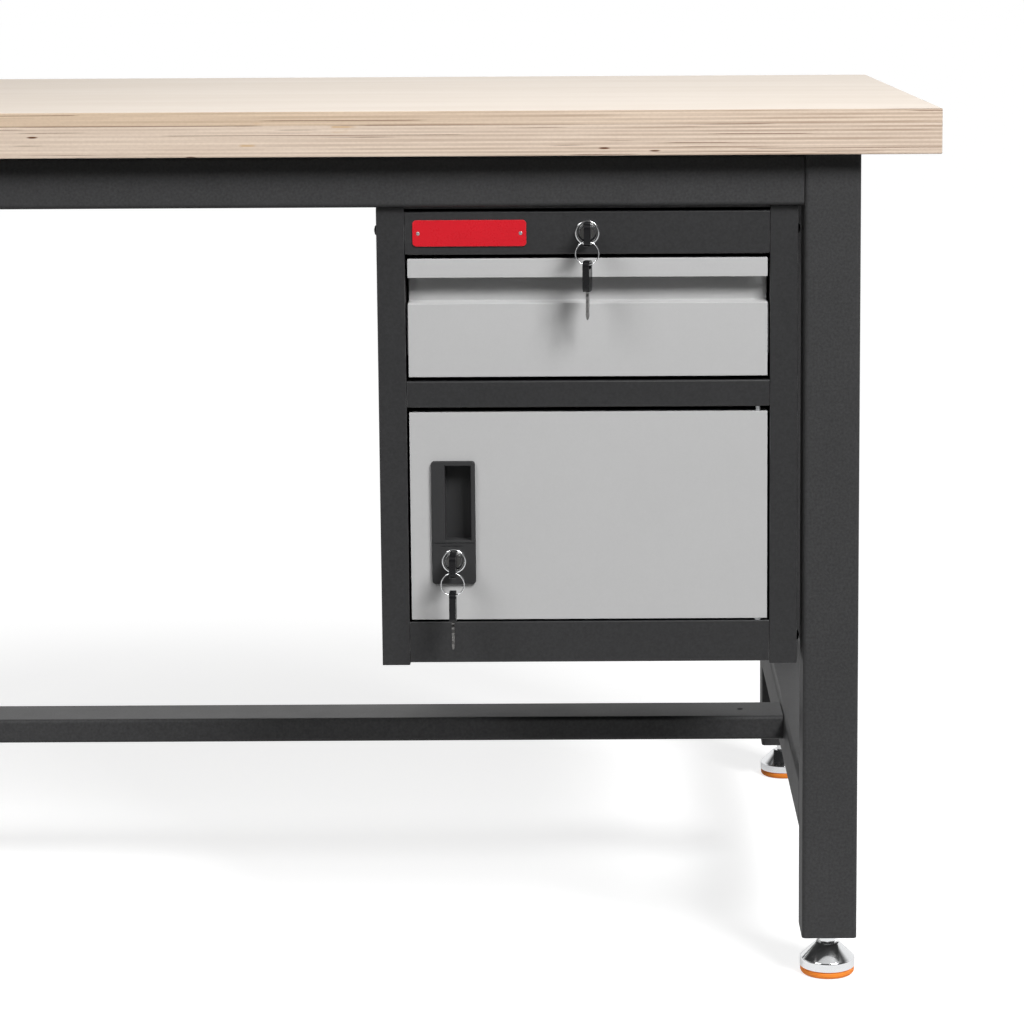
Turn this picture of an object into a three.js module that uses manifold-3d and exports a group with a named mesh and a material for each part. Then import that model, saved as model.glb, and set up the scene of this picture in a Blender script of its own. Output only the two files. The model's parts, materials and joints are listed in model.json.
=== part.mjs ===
// Workbench with a hanging cabinet that holds one drawer and one door.
// Millimetres, +Z up. The origin is on the floor under the middle of the bench's outline, keys included;
// the front faces -Y.
import * as THREE from 'three';
import { mergeVertices } from 'three/addons/utils/BufferGeometryUtils.js';
import Module from 'manifold-3d';

const wasm = await Module();
wasm.setup();

// Clearances
const SEAT_GAP = 0.2; // between pieces that bear on each other
const RUNNING_GAP = 0.3; // between pieces that slide or turn on each other
const HOLE_GAP = 0.3; // around a pin, bolt, screw or stud

// Worktop: a thick plywood board
const BENCH_HEIGHT = 796;
const TOP_LENGTH = 1500;
const TOP_DEPTH = 750;
const TOP_THICKNESS = 40;
const TOP_EDGE_CHAMFER = 1;
const TOP_END_OVERHANG = 69;
const TOP_FRONT_OVERHANG = 17;

// Frame of square legs and rectangular tube rails
const TUBE_WALL = 2;
const TUBE_CORNER = 4;
const LEG_SIZE = 50;
const LEG_FLOOR_GAP = 39.5;
const RAIL_HEIGHT = 46;
const SIDE_RAIL_WIDTH = 40;
const APRON_WIDTH = 40;
const APRON_SETBACK = 2;
const LOWER_RAIL_TOP = 174;
const STRETCHER_HEIGHT = 24;
const STRETCHER_WIDTH = 60;
const STRETCHER_FORWARD = 46; // how far its middle lies in front of the bench's middle
const STRETCHER_HOLE_RADIUS = 3.2;
const STRETCHER_HOLE_FROM_END = 42;
const CROSS_MEMBER_WIDTH = 30;
const CROSS_MEMBER_FROM_CABINET_SIDE = 60;

// Frame tabs that the worktop is screwed to from below, and the bolts that carry the cabinet
const BOLT_RADIUS = 4;
const BOLT_HEAD_RADIUS = 7.5;
const BOLT_HEAD_HEIGHT = 5.3;
const BOLT_REACH = 8; // how far a bolt stands out beyond what it grips
const TAB_LENGTH = 40;
const TAB_WIDTH = 26;
const TAB_THICKNESS = 4;
const TAB_SPREAD = 480; // from the middle tab to the outer ones along an apron
const TAB_HOLE_RADIUS = 2.3;

// Levelling feet
const PAD_RADIUS = 24.8;
const PAD_HEIGHT = 6.3;
const PAD_CHAMFER = 1;
const BASE_RADIUS = 25.3;
const BASE_RIM_HEIGHT = 8.4;
const BASE_CONE_HEIGHT = 14.2;
const BASE_TOP_RADIUS = 10.6;
const BASE_CHAMFER = 1;
const NECK_RADIUS = 7.6;
const NECK_HEIGHT = 6;
const STUD_RADIUS = 6;
const STUD_LENGTH = 48;
const NUT_PLATE_THICKNESS = 8;

// Cabinet carcass of folded sheet
const SHEET = 1.5;
const CABINET_DEPTH = 560;
const CABINET_LEG_GAP = 5;
const CABINET_SETBACK = 8; // behind the front of the legs
const POST_WIDTH = 25;
const FOLD_DEPTH = 18; // returns behind the posts, rails, drawer front and door
const REAR_FLANGE = 15;
const RAIL_LIFT = 2.3; // bottom rail above the cabinet's lowest edge
const BOTTOM_RAIL_HEIGHT = 37.7;
const DOOR_GAP_BELOW = 2.3;
const DOOR_HEIGHT = 188.4;
const DOOR_GAP_ABOVE = 4.5;
const MID_RAIL_HEIGHT = 24;
const DRAWER_GAP_BELOW = 3.7;
const DRAWER_FRONT_HEIGHT = 105.8;
const DRAWER_GAP_ABOVE = 3.6;
const TOP_RAIL_HEIGHT = 38.6;
const TOP_RAIL_DROP = 4; // top rail below the cabinet's upper edge
const FRONT_WIDTH = 320; // drawer front and door
const FRONT_SIDE_GAP = 2.2;
const FRONT_PROUD = 0.5; // drawer front and door stand out of the posts by this
const TOP_BOLT_FROM_FRONT = 90;
const TOP_BOLT_FROM_BACK = 60;

// Drawer and its telescopic slides
const LIP_HEIGHT = 16.8;
const LIP_RETURN = 7.5; // depth of the fold along the lip's lower edge
const PULL_HEIGHT = 23;
const PULL_DEPTH = 16;
const PULL_LEDGE_RISE = 1; // the pull's ledge rises by this from the face to its back wall
const TRAY_HEIGHT = 80;
const TRAY_LIFT = 8; // above the drawer front's lower edge
const TRAY_LENGTH = 480;
const SLIDE_LENGTH = 470;
const SLIDE_HEIGHT = 45;
const SLIDE_LIFT = 10; // above the tray's lower edge
const SLIDE_SHEET = 1.2;
const SLIDE_LIP = 8;
const BRACKET_HEIGHT = 30;

// Locks, keys and rings, alike on the drawer and the door
const BEZEL_RADIUS = 11.2;
const BEZEL_HEIGHT = 2.5;
const BEZEL_CHAMFER = 1;
const BARREL_RADIUS = 9;
const PLUG_RADIUS = 6.3;
const PLUG_PROUD = 0.6;
const CLAMP_RADIUS = 12;
const CLAMP_HEIGHT = 2;
const CAM_LENGTH = 44;
const CAM_WIDTH = 12;
const CAM_THICKNESS = 2;
const CAM_SCREW_RADIUS = 4.5;
const CAM_SCREW_HEIGHT = 3;
const CAM_BACK = 22.5; // cam's front face behind the cabinet's front
const KEY_HEAD_LENGTH = 27;
const KEY_HEAD_WIDTH = 20;
const KEY_HEAD_THICKNESS = 6;
const KEY_HEAD_CORNER = 4.5;
const KEY_BLADE_LENGTH = 25;
const KEY_BLADE_WIDTH = 8.2;
const KEY_BLADE_THICKNESS = 2.3;
const KEY_HEAD_FROM_PLUG = 2;
const KEY_HOLE_HALF_WIDTH = 7;
const KEY_HOLE_HALF_LENGTH = 2.6;
const KEY_HOLE_CORNER = 2.3;
const KEY_HOLE_RIM = 2;
const RING_RADIUS = 10.3;
const RING_WIRE_RADIUS = 0.9;
const STRIKE_LENGTH = 40;
const STRIKE_PLAY = 2; // between the turned-down cam and the strike's lip
const STRIKE_FLOOR_GAP = 8; // below the tip of the turned-down cam
const STRIKE_RISE = 14; // of the strike's lip above the tray's rim

// Door, its handle, pivots and catch
const HANDLE_WIDTH = 39.4;
const HANDLE_HEIGHT = 112;
const HANDLE_PLATE = 3;
const HANDLE_CORNER = 3;
const HANDLE_FROM_EDGE = 18.9;
const HANDLE_FROM_TOP = 43.4;
const HANDLE_BODY_INSET = 2.7;
const HANDLE_BODY_DEPTH = 15;
const POCKET_FROM_SIDE = 12.3;
const POCKET_WIDTH = 23;
const POCKET_FROM_TOP = 4.4;
const POCKET_HEIGHT = 67.7;
const POCKET_DEPTH = 15;
const HANDLE_LOCK_LIFT = 21.3;
const PIVOT_FROM_EDGE = 8.3;
const PIVOT_BACK = 4.5;
const PIVOT_RADIUS = 2.2;
const PIVOT_REACH = 8;
const PIVOT_COLLAR_RADIUS = 3.6;
const MAGNET_WIDTH = 30;
const MAGNET_DEPTH = 10;
const MAGNET_FROM_POST = 18;
const MAGNET_OVERLAP = 16; // how far the catch hangs below the door's upper edge

// Places that follow from the sizes
const frameTop = BENCH_HEIGHT - TOP_THICKNESS - SEAT_GAP;
const railsBottom = frameTop - RAIL_HEIGHT;
const legOuterX = TOP_LENGTH / 2 - TOP_END_OVERHANG;
const legInnerX = legOuterX - LEG_SIZE;
const legOuterY = TOP_DEPTH / 2 - TOP_FRONT_OVERHANG;
const legInnerY = legOuterY - LEG_SIZE;
const apronOuterY = legOuterY - APRON_SETBACK;
const apronInnerY = apronOuterY - APRON_WIDTH;
const apronMiddleY = (apronOuterY + apronInnerY) / 2;
const apronMiddleZ = (frameTop + railsBottom) / 2;
const stretcherMiddleZ = LOWER_RAIL_TOP - STRETCHER_HEIGHT / 2;
const boltHoleRadius = BOLT_RADIUS + HOLE_GAP;

const cabinetWidth = FRONT_WIDTH + 2 * FRONT_SIDE_GAP + 2 * POST_WIDTH;
const bottomRailTop = RAIL_LIFT + BOTTOM_RAIL_HEIGHT;
const doorBottom = bottomRailTop + DOOR_GAP_BELOW;
const doorTop = doorBottom + DOOR_HEIGHT;
const midRailBottom = doorTop + DOOR_GAP_ABOVE;
const midRailTop = midRailBottom + MID_RAIL_HEIGHT;
const drawerBottom = midRailTop + DRAWER_GAP_BELOW;
const drawerTop = drawerBottom + DRAWER_FRONT_HEIGHT;
const topRailBottom = drawerTop + DRAWER_GAP_ABOVE;
const topRailTop = topRailBottom + TOP_RAIL_HEIGHT;
const cabinetHeight = topRailTop + TOP_RAIL_DROP;
const cabinetLeftX = legInnerX - CABINET_LEG_GAP - cabinetWidth;
const cabinetFrontY = -legOuterY + CABINET_SETBACK;
const cabinetBottomZ = railsBottom - SEAT_GAP - cabinetHeight;
const frontLeft = POST_WIDTH + FRONT_SIDE_GAP;
const frontRight = frontLeft + FRONT_WIDTH;
const crossMemberXs = [
  cabinetLeftX + CROSS_MEMBER_FROM_CABINET_SIDE,
  cabinetLeftX + cabinetWidth - CROSS_MEMBER_FROM_CABINET_SIDE,
];
const topBoltYs = [TOP_BOLT_FROM_FRONT, CABINET_DEPTH - TOP_BOLT_FROM_BACK];

const ROUND_SIDES = 24;
const FASTENER_SIDES = 12;
const HEX_SIDES = 6;
const WIRE_SIDES = 8;
const RING_STEPS = 32;

// Finishes
const finish = (color, roughness, metalness) =>
  new THREE.MeshStandardMaterial({ color, roughness, metalness });
const darkCoat = finish(0x3b3c3e, 0.55, 0.1);
const greyCoat = finish(0xbcbdbf, 0.5, 0.1);
const plywood = finish(0xe9d3b1, 0.6, 0);
const chrome = finish(0xd9dadc, 0.15, 1);
const zinc = finish(0xa9abad, 0.4, 1);
const orangeRubber = finish(0xe77a33, 0.6, 0);
const blackPlastic = finish(0x2b2b2c, 0.5, 0);

// Shape helpers

/** Closed solid of a geometry, for joining and cutting. */
function toSolid(geometry) {
  const bare = geometry.clone();
  bare.deleteAttribute('normal');
  bare.deleteAttribute('uv');
  const merged = mergeVertices(bare, 1e-4);
  const mesh = new wasm.Mesh({
    numProp: 3,
    vertProperties: new Float32Array(merged.attributes.position.array),
    triVerts: new Uint32Array(merged.index.array),
  });
  return new wasm.Manifold(mesh);
}

/** Geometry of a closed solid. */
function toGeometry(solid) {
  const mesh = solid.getMesh();
  const geometry = new THREE.BufferGeometry();
  geometry.setAttribute('position', new THREE.BufferAttribute(mesh.vertProperties, 3));
  geometry.setIndex(new THREE.BufferAttribute(mesh.triVerts, 1));
  return geometry;
}

/** A geometry with the tools cut away. */
function cut(geometry, tools) {
  return toGeometry(tools.reduce((solid, tool) => solid.subtract(toSolid(tool)), toSolid(geometry)));
}

/** Geometries that overlap, fused into one body. */
function fuse(geometries) {
  return toGeometry(geometries.map(toSolid).reduce((solid, next) => solid.add(next)));
}

/** Box between two corners. */
function box([x0, y0, z0], [x1, y1, z1]) {
  return new THREE.BoxGeometry(x1 - x0, y1 - y0, z1 - z0)
    .translate((x0 + x1) / 2, (y0 + y1) / 2, (z0 + z1) / 2);
}

/** Outline through points. */
function outline(points) {
  return new THREE.Shape(points.map(([u, v]) => new THREE.Vector2(u, v)));
}

/** Rectangle with round corners, centred on (u, v). */
function roundedRectangle(width, height, corner, u = 0, v = 0) {
  const shape = new THREE.Shape();
  const [x, y] = [width / 2 - corner, height / 2 - corner];
  shape.absarc(u + x, v + y, corner, 0, Math.PI / 2);
  shape.absarc(u - x, v + y, corner, Math.PI / 2, Math.PI);
  shape.absarc(u - x, v - y, corner, Math.PI, 1.5 * Math.PI);
  shape.absarc(u + x, v - y, corner, 1.5 * Math.PI, 2 * Math.PI);
  return shape;
}

/** Rectangular tube section with an open middle. */
function tubeSection(width, height, u = 0, v = 0) {
  const shape = roundedRectangle(width, height, TUBE_CORNER, u, v);
  const bore = [width - 2 * TUBE_WALL, height - 2 * TUBE_WALL, TUBE_CORNER - TUBE_WALL / 2, u, v];
  shape.holes.push(roundedRectangle(...bore));
  return shape;
}

const CORNER_STEPS = 3;
const alongX = new THREE.Matrix4().makeBasis(
  new THREE.Vector3(0, 1, 0), new THREE.Vector3(0, 0, 1), new THREE.Vector3(1, 0, 0));
const alongY = new THREE.Matrix4().makeBasis(
  new THREE.Vector3(1, 0, 0), new THREE.Vector3(0, 0, 1), new THREE.Vector3(0, -1, 0));

/** XY outline drawn up from z0 to z1. */
function prismZ(shape, z0, z1) {
  const options = { depth: z1 - z0, bevelEnabled: false, curveSegments: CORNER_STEPS };
  return new THREE.ExtrudeGeometry(shape, options).translate(0, 0, z0);
}

/** YZ outline drawn along x from x0 to x1. */
function prismX(shape, x0, x1) {
  return prismZ(shape, 0, x1 - x0).applyMatrix4(alongX).translate(x0, 0, 0);
}

/** XZ outline drawn along y from y0 to y1. */
function prismY(shape, y0, y1) {
  return prismZ(shape, 0, y1 - y0).applyMatrix4(alongY).translate(0, y1, 0);
}

/** Cylinder or hexagon along Z, from z0 to z1. */
function rodZ(radius, z0, z1, x = 0, y = 0, sides = FASTENER_SIDES) {
  return new THREE.CylinderGeometry(radius, radius, z1 - z0, sides)
    .rotateX(Math.PI / 2).translate(x, y, (z0 + z1) / 2);
}

/** Cylinder or hexagon along Y, from y0 to y1. */
function rodY(radius, y0, y1, x = 0, z = 0, sides = FASTENER_SIDES) {
  return new THREE.CylinderGeometry(radius, radius, y1 - y0, sides).translate(x, (y0 + y1) / 2, z);
}

/** Round body about Z through [radius, z] points. */
function turned(points, sides = ROUND_SIDES) {
  const profile = points.map(([radius, z]) => new THREE.Vector2(radius, z));
  return new THREE.LatheGeometry(profile, sides).rotateX(Math.PI / 2);
}

/** Named mesh added to a group. */
function add(group, name, geometry, material) {
  const mesh = new THREE.Mesh(geometry, material);
  mesh.name = name;
  group.add(mesh);
  return mesh;
}

/** Every pair of two lists. */
const pairs = (first, second) => first.flatMap((a) => second.map((b) => [a, b]));

// Worktop and frame

function worktop() {
  const side = TOP_EDGE_CHAMFER;
  const [x, y] = [TOP_LENGTH / 2 - side, TOP_DEPTH / 2 - side];
  return new THREE.ExtrudeGeometry(outline([[-x, -y], [x, -y], [x, y], [-x, y]]), {
    depth: TOP_THICKNESS - 2 * side, bevelThickness: side, bevelSize: side, bevelSegments: 1,
  }).translate(0, 0, BENCH_HEIGHT - TOP_THICKNESS + side);
}

/** Square leg, closed at its lower end by the welded plate that the foot's stud screws into. */
function leg(sideX, sideY) {
  const x = sideX * (legInnerX + LEG_SIZE / 2);
  const y = sideY * (legInnerY + LEG_SIZE / 2);
  const tube = prismZ(tubeSection(LEG_SIZE, LEG_SIZE, x, y), LEG_FLOOR_GAP, frameTop);
  const plateTop = LEG_FLOOR_GAP + NUT_PLATE_THICKNESS;
  const size = LEG_SIZE - TUBE_WALL;
  const plateShape = roundedRectangle(size, size, TUBE_CORNER - TUBE_WALL / 2, x, y);
  const plate = prismZ(plateShape, LEG_FLOOR_GAP, plateTop);
  const stud = rodZ(STUD_RADIUS + HOLE_GAP, LEG_FLOOR_GAP - NUT_PLATE_THICKNESS, 2 * plateTop, x, y);
  return cut(fuse([tube, plate]), [stud]);
}

/** Flat tab with a screw hole, welded to a rail whose inner face it meets at its root. */
function screwTab(length, width, x, y) {
  const plate = box([x - length / 2, y - width / 2, frameTop - TAB_THICKNESS],
    [x + length / 2, y + width / 2, frameTop]);
  return cut(plate, [rodZ(TAB_HOLE_RADIUS, frameTop - 2 * TAB_THICKNESS, BENCH_HEIGHT, x, y)]);
}

/** Rail between the front and rear legs of one end. */
function sideRail(sideX, top) {
  const x = sideX * (legInnerX + SIDE_RAIL_WIDTH / 2);
  const reach = legInnerY - SEAT_GAP;
  const section = tubeSection(SIDE_RAIL_WIDTH, RAIL_HEIGHT, x, top - RAIL_HEIGHT / 2);
  return prismY(section, -reach, reach);
}

function upperSideRail(sideX) {
  const tabX = sideX * (legInnerX + TUBE_WALL / 2 - TAB_WIDTH / 2);
  return fuse([sideRail(sideX, frameTop), screwTab(TAB_WIDTH, TAB_LENGTH, tabX, 0)]);
}

function apron(sideY) {
  const reach = legInnerX - SEAT_GAP;
  const section = tubeSection(APRON_WIDTH, RAIL_HEIGHT, sideY * apronMiddleY, apronMiddleZ);
  const tabY = sideY * (apronInnerY + TUBE_WALL / 2 - TAB_WIDTH / 2);
  const tabs = [-TAB_SPREAD, 0, TAB_SPREAD].map((x) => screwTab(TAB_LENGTH, TAB_WIDTH, x, tabY));
  return fuse([prismX(section, -reach, reach), ...tabs]);
}

function stretcher() {
  const reach = legInnerX - SEAT_GAP;
  const section = tubeSection(STRETCHER_WIDTH, STRETCHER_HEIGHT, -STRETCHER_FORWARD, stretcherMiddleZ);
  const holes = [-1, 1].map((side) => rodZ(STRETCHER_HOLE_RADIUS, stretcherMiddleZ,
    LOWER_RAIL_TOP + TUBE_WALL, side * (legInnerX - STRETCHER_HOLE_FROM_END), -STRETCHER_FORWARD));
  return cut(prismX(section, -reach, reach), holes);
}

/** Tube between the aprons that the cabinet hangs from. */
function crossMember(x) {
  const reach = apronInnerY - SEAT_GAP;
  const tube = prismY(tubeSection(CROSS_MEMBER_WIDTH, RAIL_HEIGHT, x, apronMiddleZ), -reach, reach);
  return cut(tube, topBoltYs.map((y) =>
    rodZ(boltHoleRadius, railsBottom - TUBE_WALL, apronMiddleZ, x, cabinetFrontY + y)));
}

// Levelling feet

function footPad() {
  return turned([
    [0, 0], [PAD_RADIUS - PAD_CHAMFER, 0], [PAD_RADIUS, PAD_CHAMFER],
    [PAD_RADIUS, PAD_HEIGHT], [0, PAD_HEIGHT],
  ]);
}

/** Conical base with its hexagon neck and the stud that screws into the leg. */
function foot() {
  const baseBottom = PAD_HEIGHT + SEAT_GAP;
  const rimTop = PAD_HEIGHT + BASE_RIM_HEIGHT;
  const baseTop = rimTop + BASE_CONE_HEIGHT;
  const neckTop = baseTop + NECK_HEIGHT;
  const base = turned([
    [0, baseBottom], [BASE_RADIUS - BASE_CHAMFER, baseBottom], [BASE_RADIUS, baseBottom + BASE_CHAMFER],
    [BASE_RADIUS, rimTop - BASE_CHAMFER], [BASE_RADIUS - BASE_CHAMFER, rimTop],
    [BASE_TOP_RADIUS, baseTop - BASE_CHAMFER], [BASE_TOP_RADIUS - BASE_CHAMFER, baseTop], [0, baseTop],
  ]);
  return fuse([
    base,
    rodZ(NECK_RADIUS, rimTop, neckTop, 0, 0, HEX_SIDES),
    rodZ(STUD_RADIUS, rimTop, neckTop + STUD_LENGTH),
  ]);
}

// Cabinet carcass, in the cabinet's own frame: x right, y back, z up from its lower left front corner

/** Side wall folded round into a front post and a rear flange. */
function cabinetSide(isRight) {
  const section = [
    [0, 0], [POST_WIDTH, 0], [POST_WIDTH, FOLD_DEPTH], [POST_WIDTH - SHEET, FOLD_DEPTH],
    [POST_WIDTH - SHEET, SHEET], [SHEET, SHEET], [SHEET, CABINET_DEPTH - SHEET],
    [REAR_FLANGE, CABINET_DEPTH - SHEET], [REAR_FLANGE, CABINET_DEPTH], [0, CABINET_DEPTH],
  ];
  const points = isRight ? section.map(([x, y]) => [cabinetWidth - x, y]).reverse() : section;
  return prismZ(outline(points), 0, cabinetHeight);
}

/** Flat floor or roof sheet, slit for the posts' folds; its front corners close the hollow posts. */
function cabinetSheet(z0) {
  const wall = SHEET + SEAT_GAP;
  const slitStart = POST_WIDTH - wall;
  const slitEnd = POST_WIDTH + SEAT_GAP;
  const slitBack = FOLD_DEPTH + SEAT_GAP;
  const back = CABINET_DEPTH - wall;
  const leftFront = [
    [wall, wall], [slitStart, wall], [slitStart, slitBack], [slitEnd, slitBack], [slitEnd, SHEET],
  ];
  const rightFront = leftFront.map(([x, y]) => [cabinetWidth - x, y]).reverse();
  return prismZ(outline([
    ...leftFront, ...rightFront, [cabinetWidth - wall, back], [wall, back],
  ]), z0, z0 + SHEET);
}

function cabinetTop() {
  const holes = pairs(crossMemberXs, topBoltYs).map(([x, y]) =>
    rodZ(boltHoleRadius, cabinetHeight - 3 * SHEET, cabinetHeight + SHEET, x - cabinetLeftX, y));
  return cut(cabinetSheet(cabinetHeight - SHEET), holes);
}

function cabinetBack() {
  const wall = SHEET + SEAT_GAP;
  const back = CABINET_DEPTH - wall;
  return box([wall, back - SHEET, wall], [cabinetWidth - wall, back, cabinetHeight - wall]);
}

/** Channel-folded rail between the posts. */
function frontRail(z0, z1) {
  const end = POST_WIDTH + SEAT_GAP;
  const section = outline([
    [0, z0], [FOLD_DEPTH, z0], [FOLD_DEPTH, z0 + SHEET], [SHEET, z0 + SHEET],
    [SHEET, z1 - SHEET], [FOLD_DEPTH, z1 - SHEET], [FOLD_DEPTH, z1], [0, z1],
  ]);
  return prismX(section, end, cabinetWidth - end);
}

const pivotX = frontRight - PIVOT_FROM_EDGE;
const pivotY = PIVOT_BACK - FRONT_PROUD;
const pivotHoleRadius = PIVOT_RADIUS + HOLE_GAP;
const drawerLockX = cabinetWidth / 2;
const drawerLockZ = (topRailBottom + topRailTop) / 2;

function topRail() {
  const hole = rodY(BARREL_RADIUS + HOLE_GAP, -SHEET, 2 * SHEET, drawerLockX, drawerLockZ, ROUND_SIDES);
  return cut(frontRail(topRailBottom, topRailTop), [hole]);
}

function midRail() {
  const hole = rodZ(pivotHoleRadius, midRailBottom - SHEET, midRailBottom + 2 * SHEET, pivotX, pivotY);
  return cut(frontRail(midRailBottom, midRailTop), [hole]);
}

function bottomRail() {
  const hole = rodZ(pivotHoleRadius, bottomRailTop - 2 * SHEET, bottomRailTop + SHEET, pivotX, pivotY);
  return cut(frontRail(RAIL_LIFT, bottomRailTop), [hole]);
}

/** Hexagon bolt up through the roof into a cross member. */
function cabinetBolt(x, y) {
  const roof = cabinetHeight - SHEET - SEAT_GAP;
  return fuse([
    rodZ(BOLT_HEAD_RADIUS, roof - BOLT_HEAD_HEIGHT, roof, x - cabinetLeftX, y, HEX_SIDES),
    rodZ(BOLT_RADIUS, roof - BOLT_HEAD_HEIGHT, cabinetHeight + TUBE_WALL + BOLT_REACH, x - cabinetLeftX, y),
  ]);
}

// Drawer and slides, in the cabinet's frame

const trayBottom = drawerBottom + TRAY_LIFT;
const trayFront = FOLD_DEPTH - FRONT_PROUD + SEAT_GAP;
const slideBottom = trayBottom + SLIDE_LIFT;
const slideTop = slideBottom + SLIDE_HEIGHT;
const slideFront = FOLD_DEPTH + 2 * RUNNING_GAP;
const slideOuterX = POST_WIDTH + SEAT_GAP;
const slideMiddleX = slideOuterX + SLIDE_SHEET + RUNNING_GAP;
const slideInnerX = slideMiddleX + SLIDE_SHEET + SLIDE_LIP + RUNNING_GAP;
const trayLeft = slideInnerX + SLIDE_SHEET + SEAT_GAP;

/** Section drawn along y on the cabinet's left side, or mirrored to its right side. */
function sideProfile(section, isRight, y0, y1) {
  const points = isRight ? section.map(([x, z]) => [cabinetWidth - x, z]).reverse() : section;
  return prismY(outline(points), y0, y1);
}

/** Channel section whose web stands at x and whose lips run towards the lip end. */
function channel(x, lipEnd, z0, z1) {
  const web = Math.sign(lipEnd - x) * SLIDE_SHEET;
  const points = [
    [x, z0], [lipEnd, z0], [lipEnd, z0 + SLIDE_SHEET], [x + web, z0 + SLIDE_SHEET],
    [x + web, z1 - SLIDE_SHEET], [lipEnd, z1 - SLIDE_SHEET], [lipEnd, z1], [x, z1],
  ];
  return web > 0 ? points : points.reverse();
}

/** Fixed slide member on the bracket that holds it clear of the post. */
function slideOuter(isRight) {
  const lipEnd = slideOuterX + SLIDE_SHEET + SLIDE_LIP;
  const z0 = slideBottom + (SLIDE_HEIGHT - BRACKET_HEIGHT) / 2;
  const bracket = channel(slideOuterX + SLIDE_SHEET / 2, SHEET + SEAT_GAP, z0, z0 + BRACKET_HEIGHT);
  const back = slideFront + SLIDE_LENGTH;
  return fuse([
    sideProfile(channel(slideOuterX, lipEnd, slideBottom, slideTop), isRight, slideFront, back),
    sideProfile(bracket, isRight, slideFront + RUNNING_GAP, back - RUNNING_GAP),
  ]);
}

function slideMiddle(isRight) {
  const nest = SLIDE_SHEET + RUNNING_GAP;
  const lipEnd = slideMiddleX + SLIDE_SHEET + SLIDE_LIP;
  return sideProfile(channel(slideMiddleX, lipEnd, slideBottom + nest, slideTop - nest), isRight,
    slideFront, slideFront + SLIDE_LENGTH);
}

function slideInner(isRight) {
  const nest = 2 * (SLIDE_SHEET + RUNNING_GAP);
  const web = slideInnerX + SLIDE_SHEET;
  return sideProfile(channel(web, web - SLIDE_LIP, slideBottom + nest, slideTop - nest), isRight,
    trayFront + 2 * SHEET, slideFront + SLIDE_LENGTH);
}

function drawerTray() {
  const outer = box([trayLeft, trayFront, trayBottom],
    [cabinetWidth - trayLeft, trayFront + TRAY_LENGTH, trayBottom + TRAY_HEIGHT]);
  const inner = box([trayLeft + SHEET, trayFront + SHEET, trayBottom + SHEET],
    [cabinetWidth - trayLeft - SHEET, trayFront + TRAY_LENGTH - SHEET, trayBottom + 2 * TRAY_HEIGHT]);
  return cut(outer, [inner]);
}

/** One folded sheet: a lip with a return, the finger pull below it, the face and a lower return. */
function drawerFront() {
  const face = -FRONT_PROUD;
  const back = face + FOLD_DEPTH;
  const lipBottom = drawerTop - LIP_HEIGHT;
  const pullBottom = lipBottom - PULL_HEIGHT;
  const wallBottom = pullBottom + PULL_LEDGE_RISE;
  const wall = face + PULL_DEPTH;
  return prismX(outline([
    [face, lipBottom], [face + LIP_RETURN, lipBottom], [face + LIP_RETURN, lipBottom + SHEET],
    [face + SHEET, lipBottom + SHEET], [face + SHEET, drawerTop - SHEET],
    [wall, drawerTop - SHEET], [wall, wallBottom], [face, pullBottom], [face, drawerBottom],
    [back, drawerBottom], [back, drawerBottom + SHEET], [face + SHEET, drawerBottom + SHEET],
    [face + SHEET, pullBottom - SHEET], [wall + SHEET, wallBottom - SHEET],
    [wall + SHEET, drawerTop], [face, drawerTop],
  ].reverse()), frontLeft, frontRight);
}

/** Folded strike behind the tray's front wall; the drawer lock's cam turns down in front of its lip. */
function drawerStrike() {
  const front = trayFront + SHEET + SEAT_GAP;
  const lip = CAM_BACK + CAM_THICKNESS + STRIKE_PLAY;
  const floor = drawerLockZ - CAM_LENGTH - STRIKE_FLOOR_GAP;
  const rim = trayBottom + TRAY_HEIGHT;
  return prismX(outline([
    [front, floor], [lip + SHEET, floor], [lip + SHEET, rim + STRIKE_RISE], [lip, rim + STRIKE_RISE],
    [lip, floor + SHEET], [front + SHEET, floor + SHEET], [front + SHEET, rim], [front, rim],
  ]), drawerLockX - STRIKE_LENGTH / 2, drawerLockX + STRIKE_LENGTH / 2);
}

// Lock sets: x right, y back from the face that the bezel sits on, z up from the lock's middle

const plugFront = -BEZEL_HEIGHT - PLUG_PROUD;
const keyHeadBack = plugFront - KEY_HEAD_FROM_PLUG;
const keyHeadFront = keyHeadBack - KEY_HEAD_LENGTH;
const keyHoleY = keyHeadFront + KEY_HOLE_RIM + KEY_HOLE_HALF_LENGTH;
const ringSag = RING_RADIUS - Math.sqrt(RING_RADIUS ** 2 - (KEY_HEAD_THICKNESS / 2) ** 2);
const ringTopZ = -KEY_HOLE_HALF_WIDTH + RING_WIRE_RADIUS + ringSag + RUNNING_GAP;
const ringZ = ringTopZ - RING_RADIUS;
const spareHoleZ = ringZ - RING_RADIUS + ringSag + RING_WIRE_RADIUS + RUNNING_GAP - KEY_HOLE_HALF_LENGTH;

/** Barrel with its bezel in front and the clamp ring that holds it behind a panel. */
function lockBarrel(length, panelBack) {
  const bore = PLUG_RADIUS + RUNNING_GAP;
  const clampFront = panelBack + SEAT_GAP;
  const clampBack = clampFront + CLAMP_HEIGHT;
  return turned([
    [bore, -length], [BARREL_RADIUS, -length], [BARREL_RADIUS, -clampBack], [CLAMP_RADIUS, -clampBack],
    [CLAMP_RADIUS, -clampFront], [BARREL_RADIUS, -clampFront], [BARREL_RADIUS, SEAT_GAP],
    [BEZEL_RADIUS, SEAT_GAP], [BEZEL_RADIUS, BEZEL_HEIGHT - BEZEL_CHAMFER],
    [BEZEL_RADIUS - BEZEL_CHAMFER, BEZEL_HEIGHT],
    [bore, BEZEL_HEIGHT], [bore, -length],
  ]).rotateX(Math.PI / 2);
}

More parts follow.
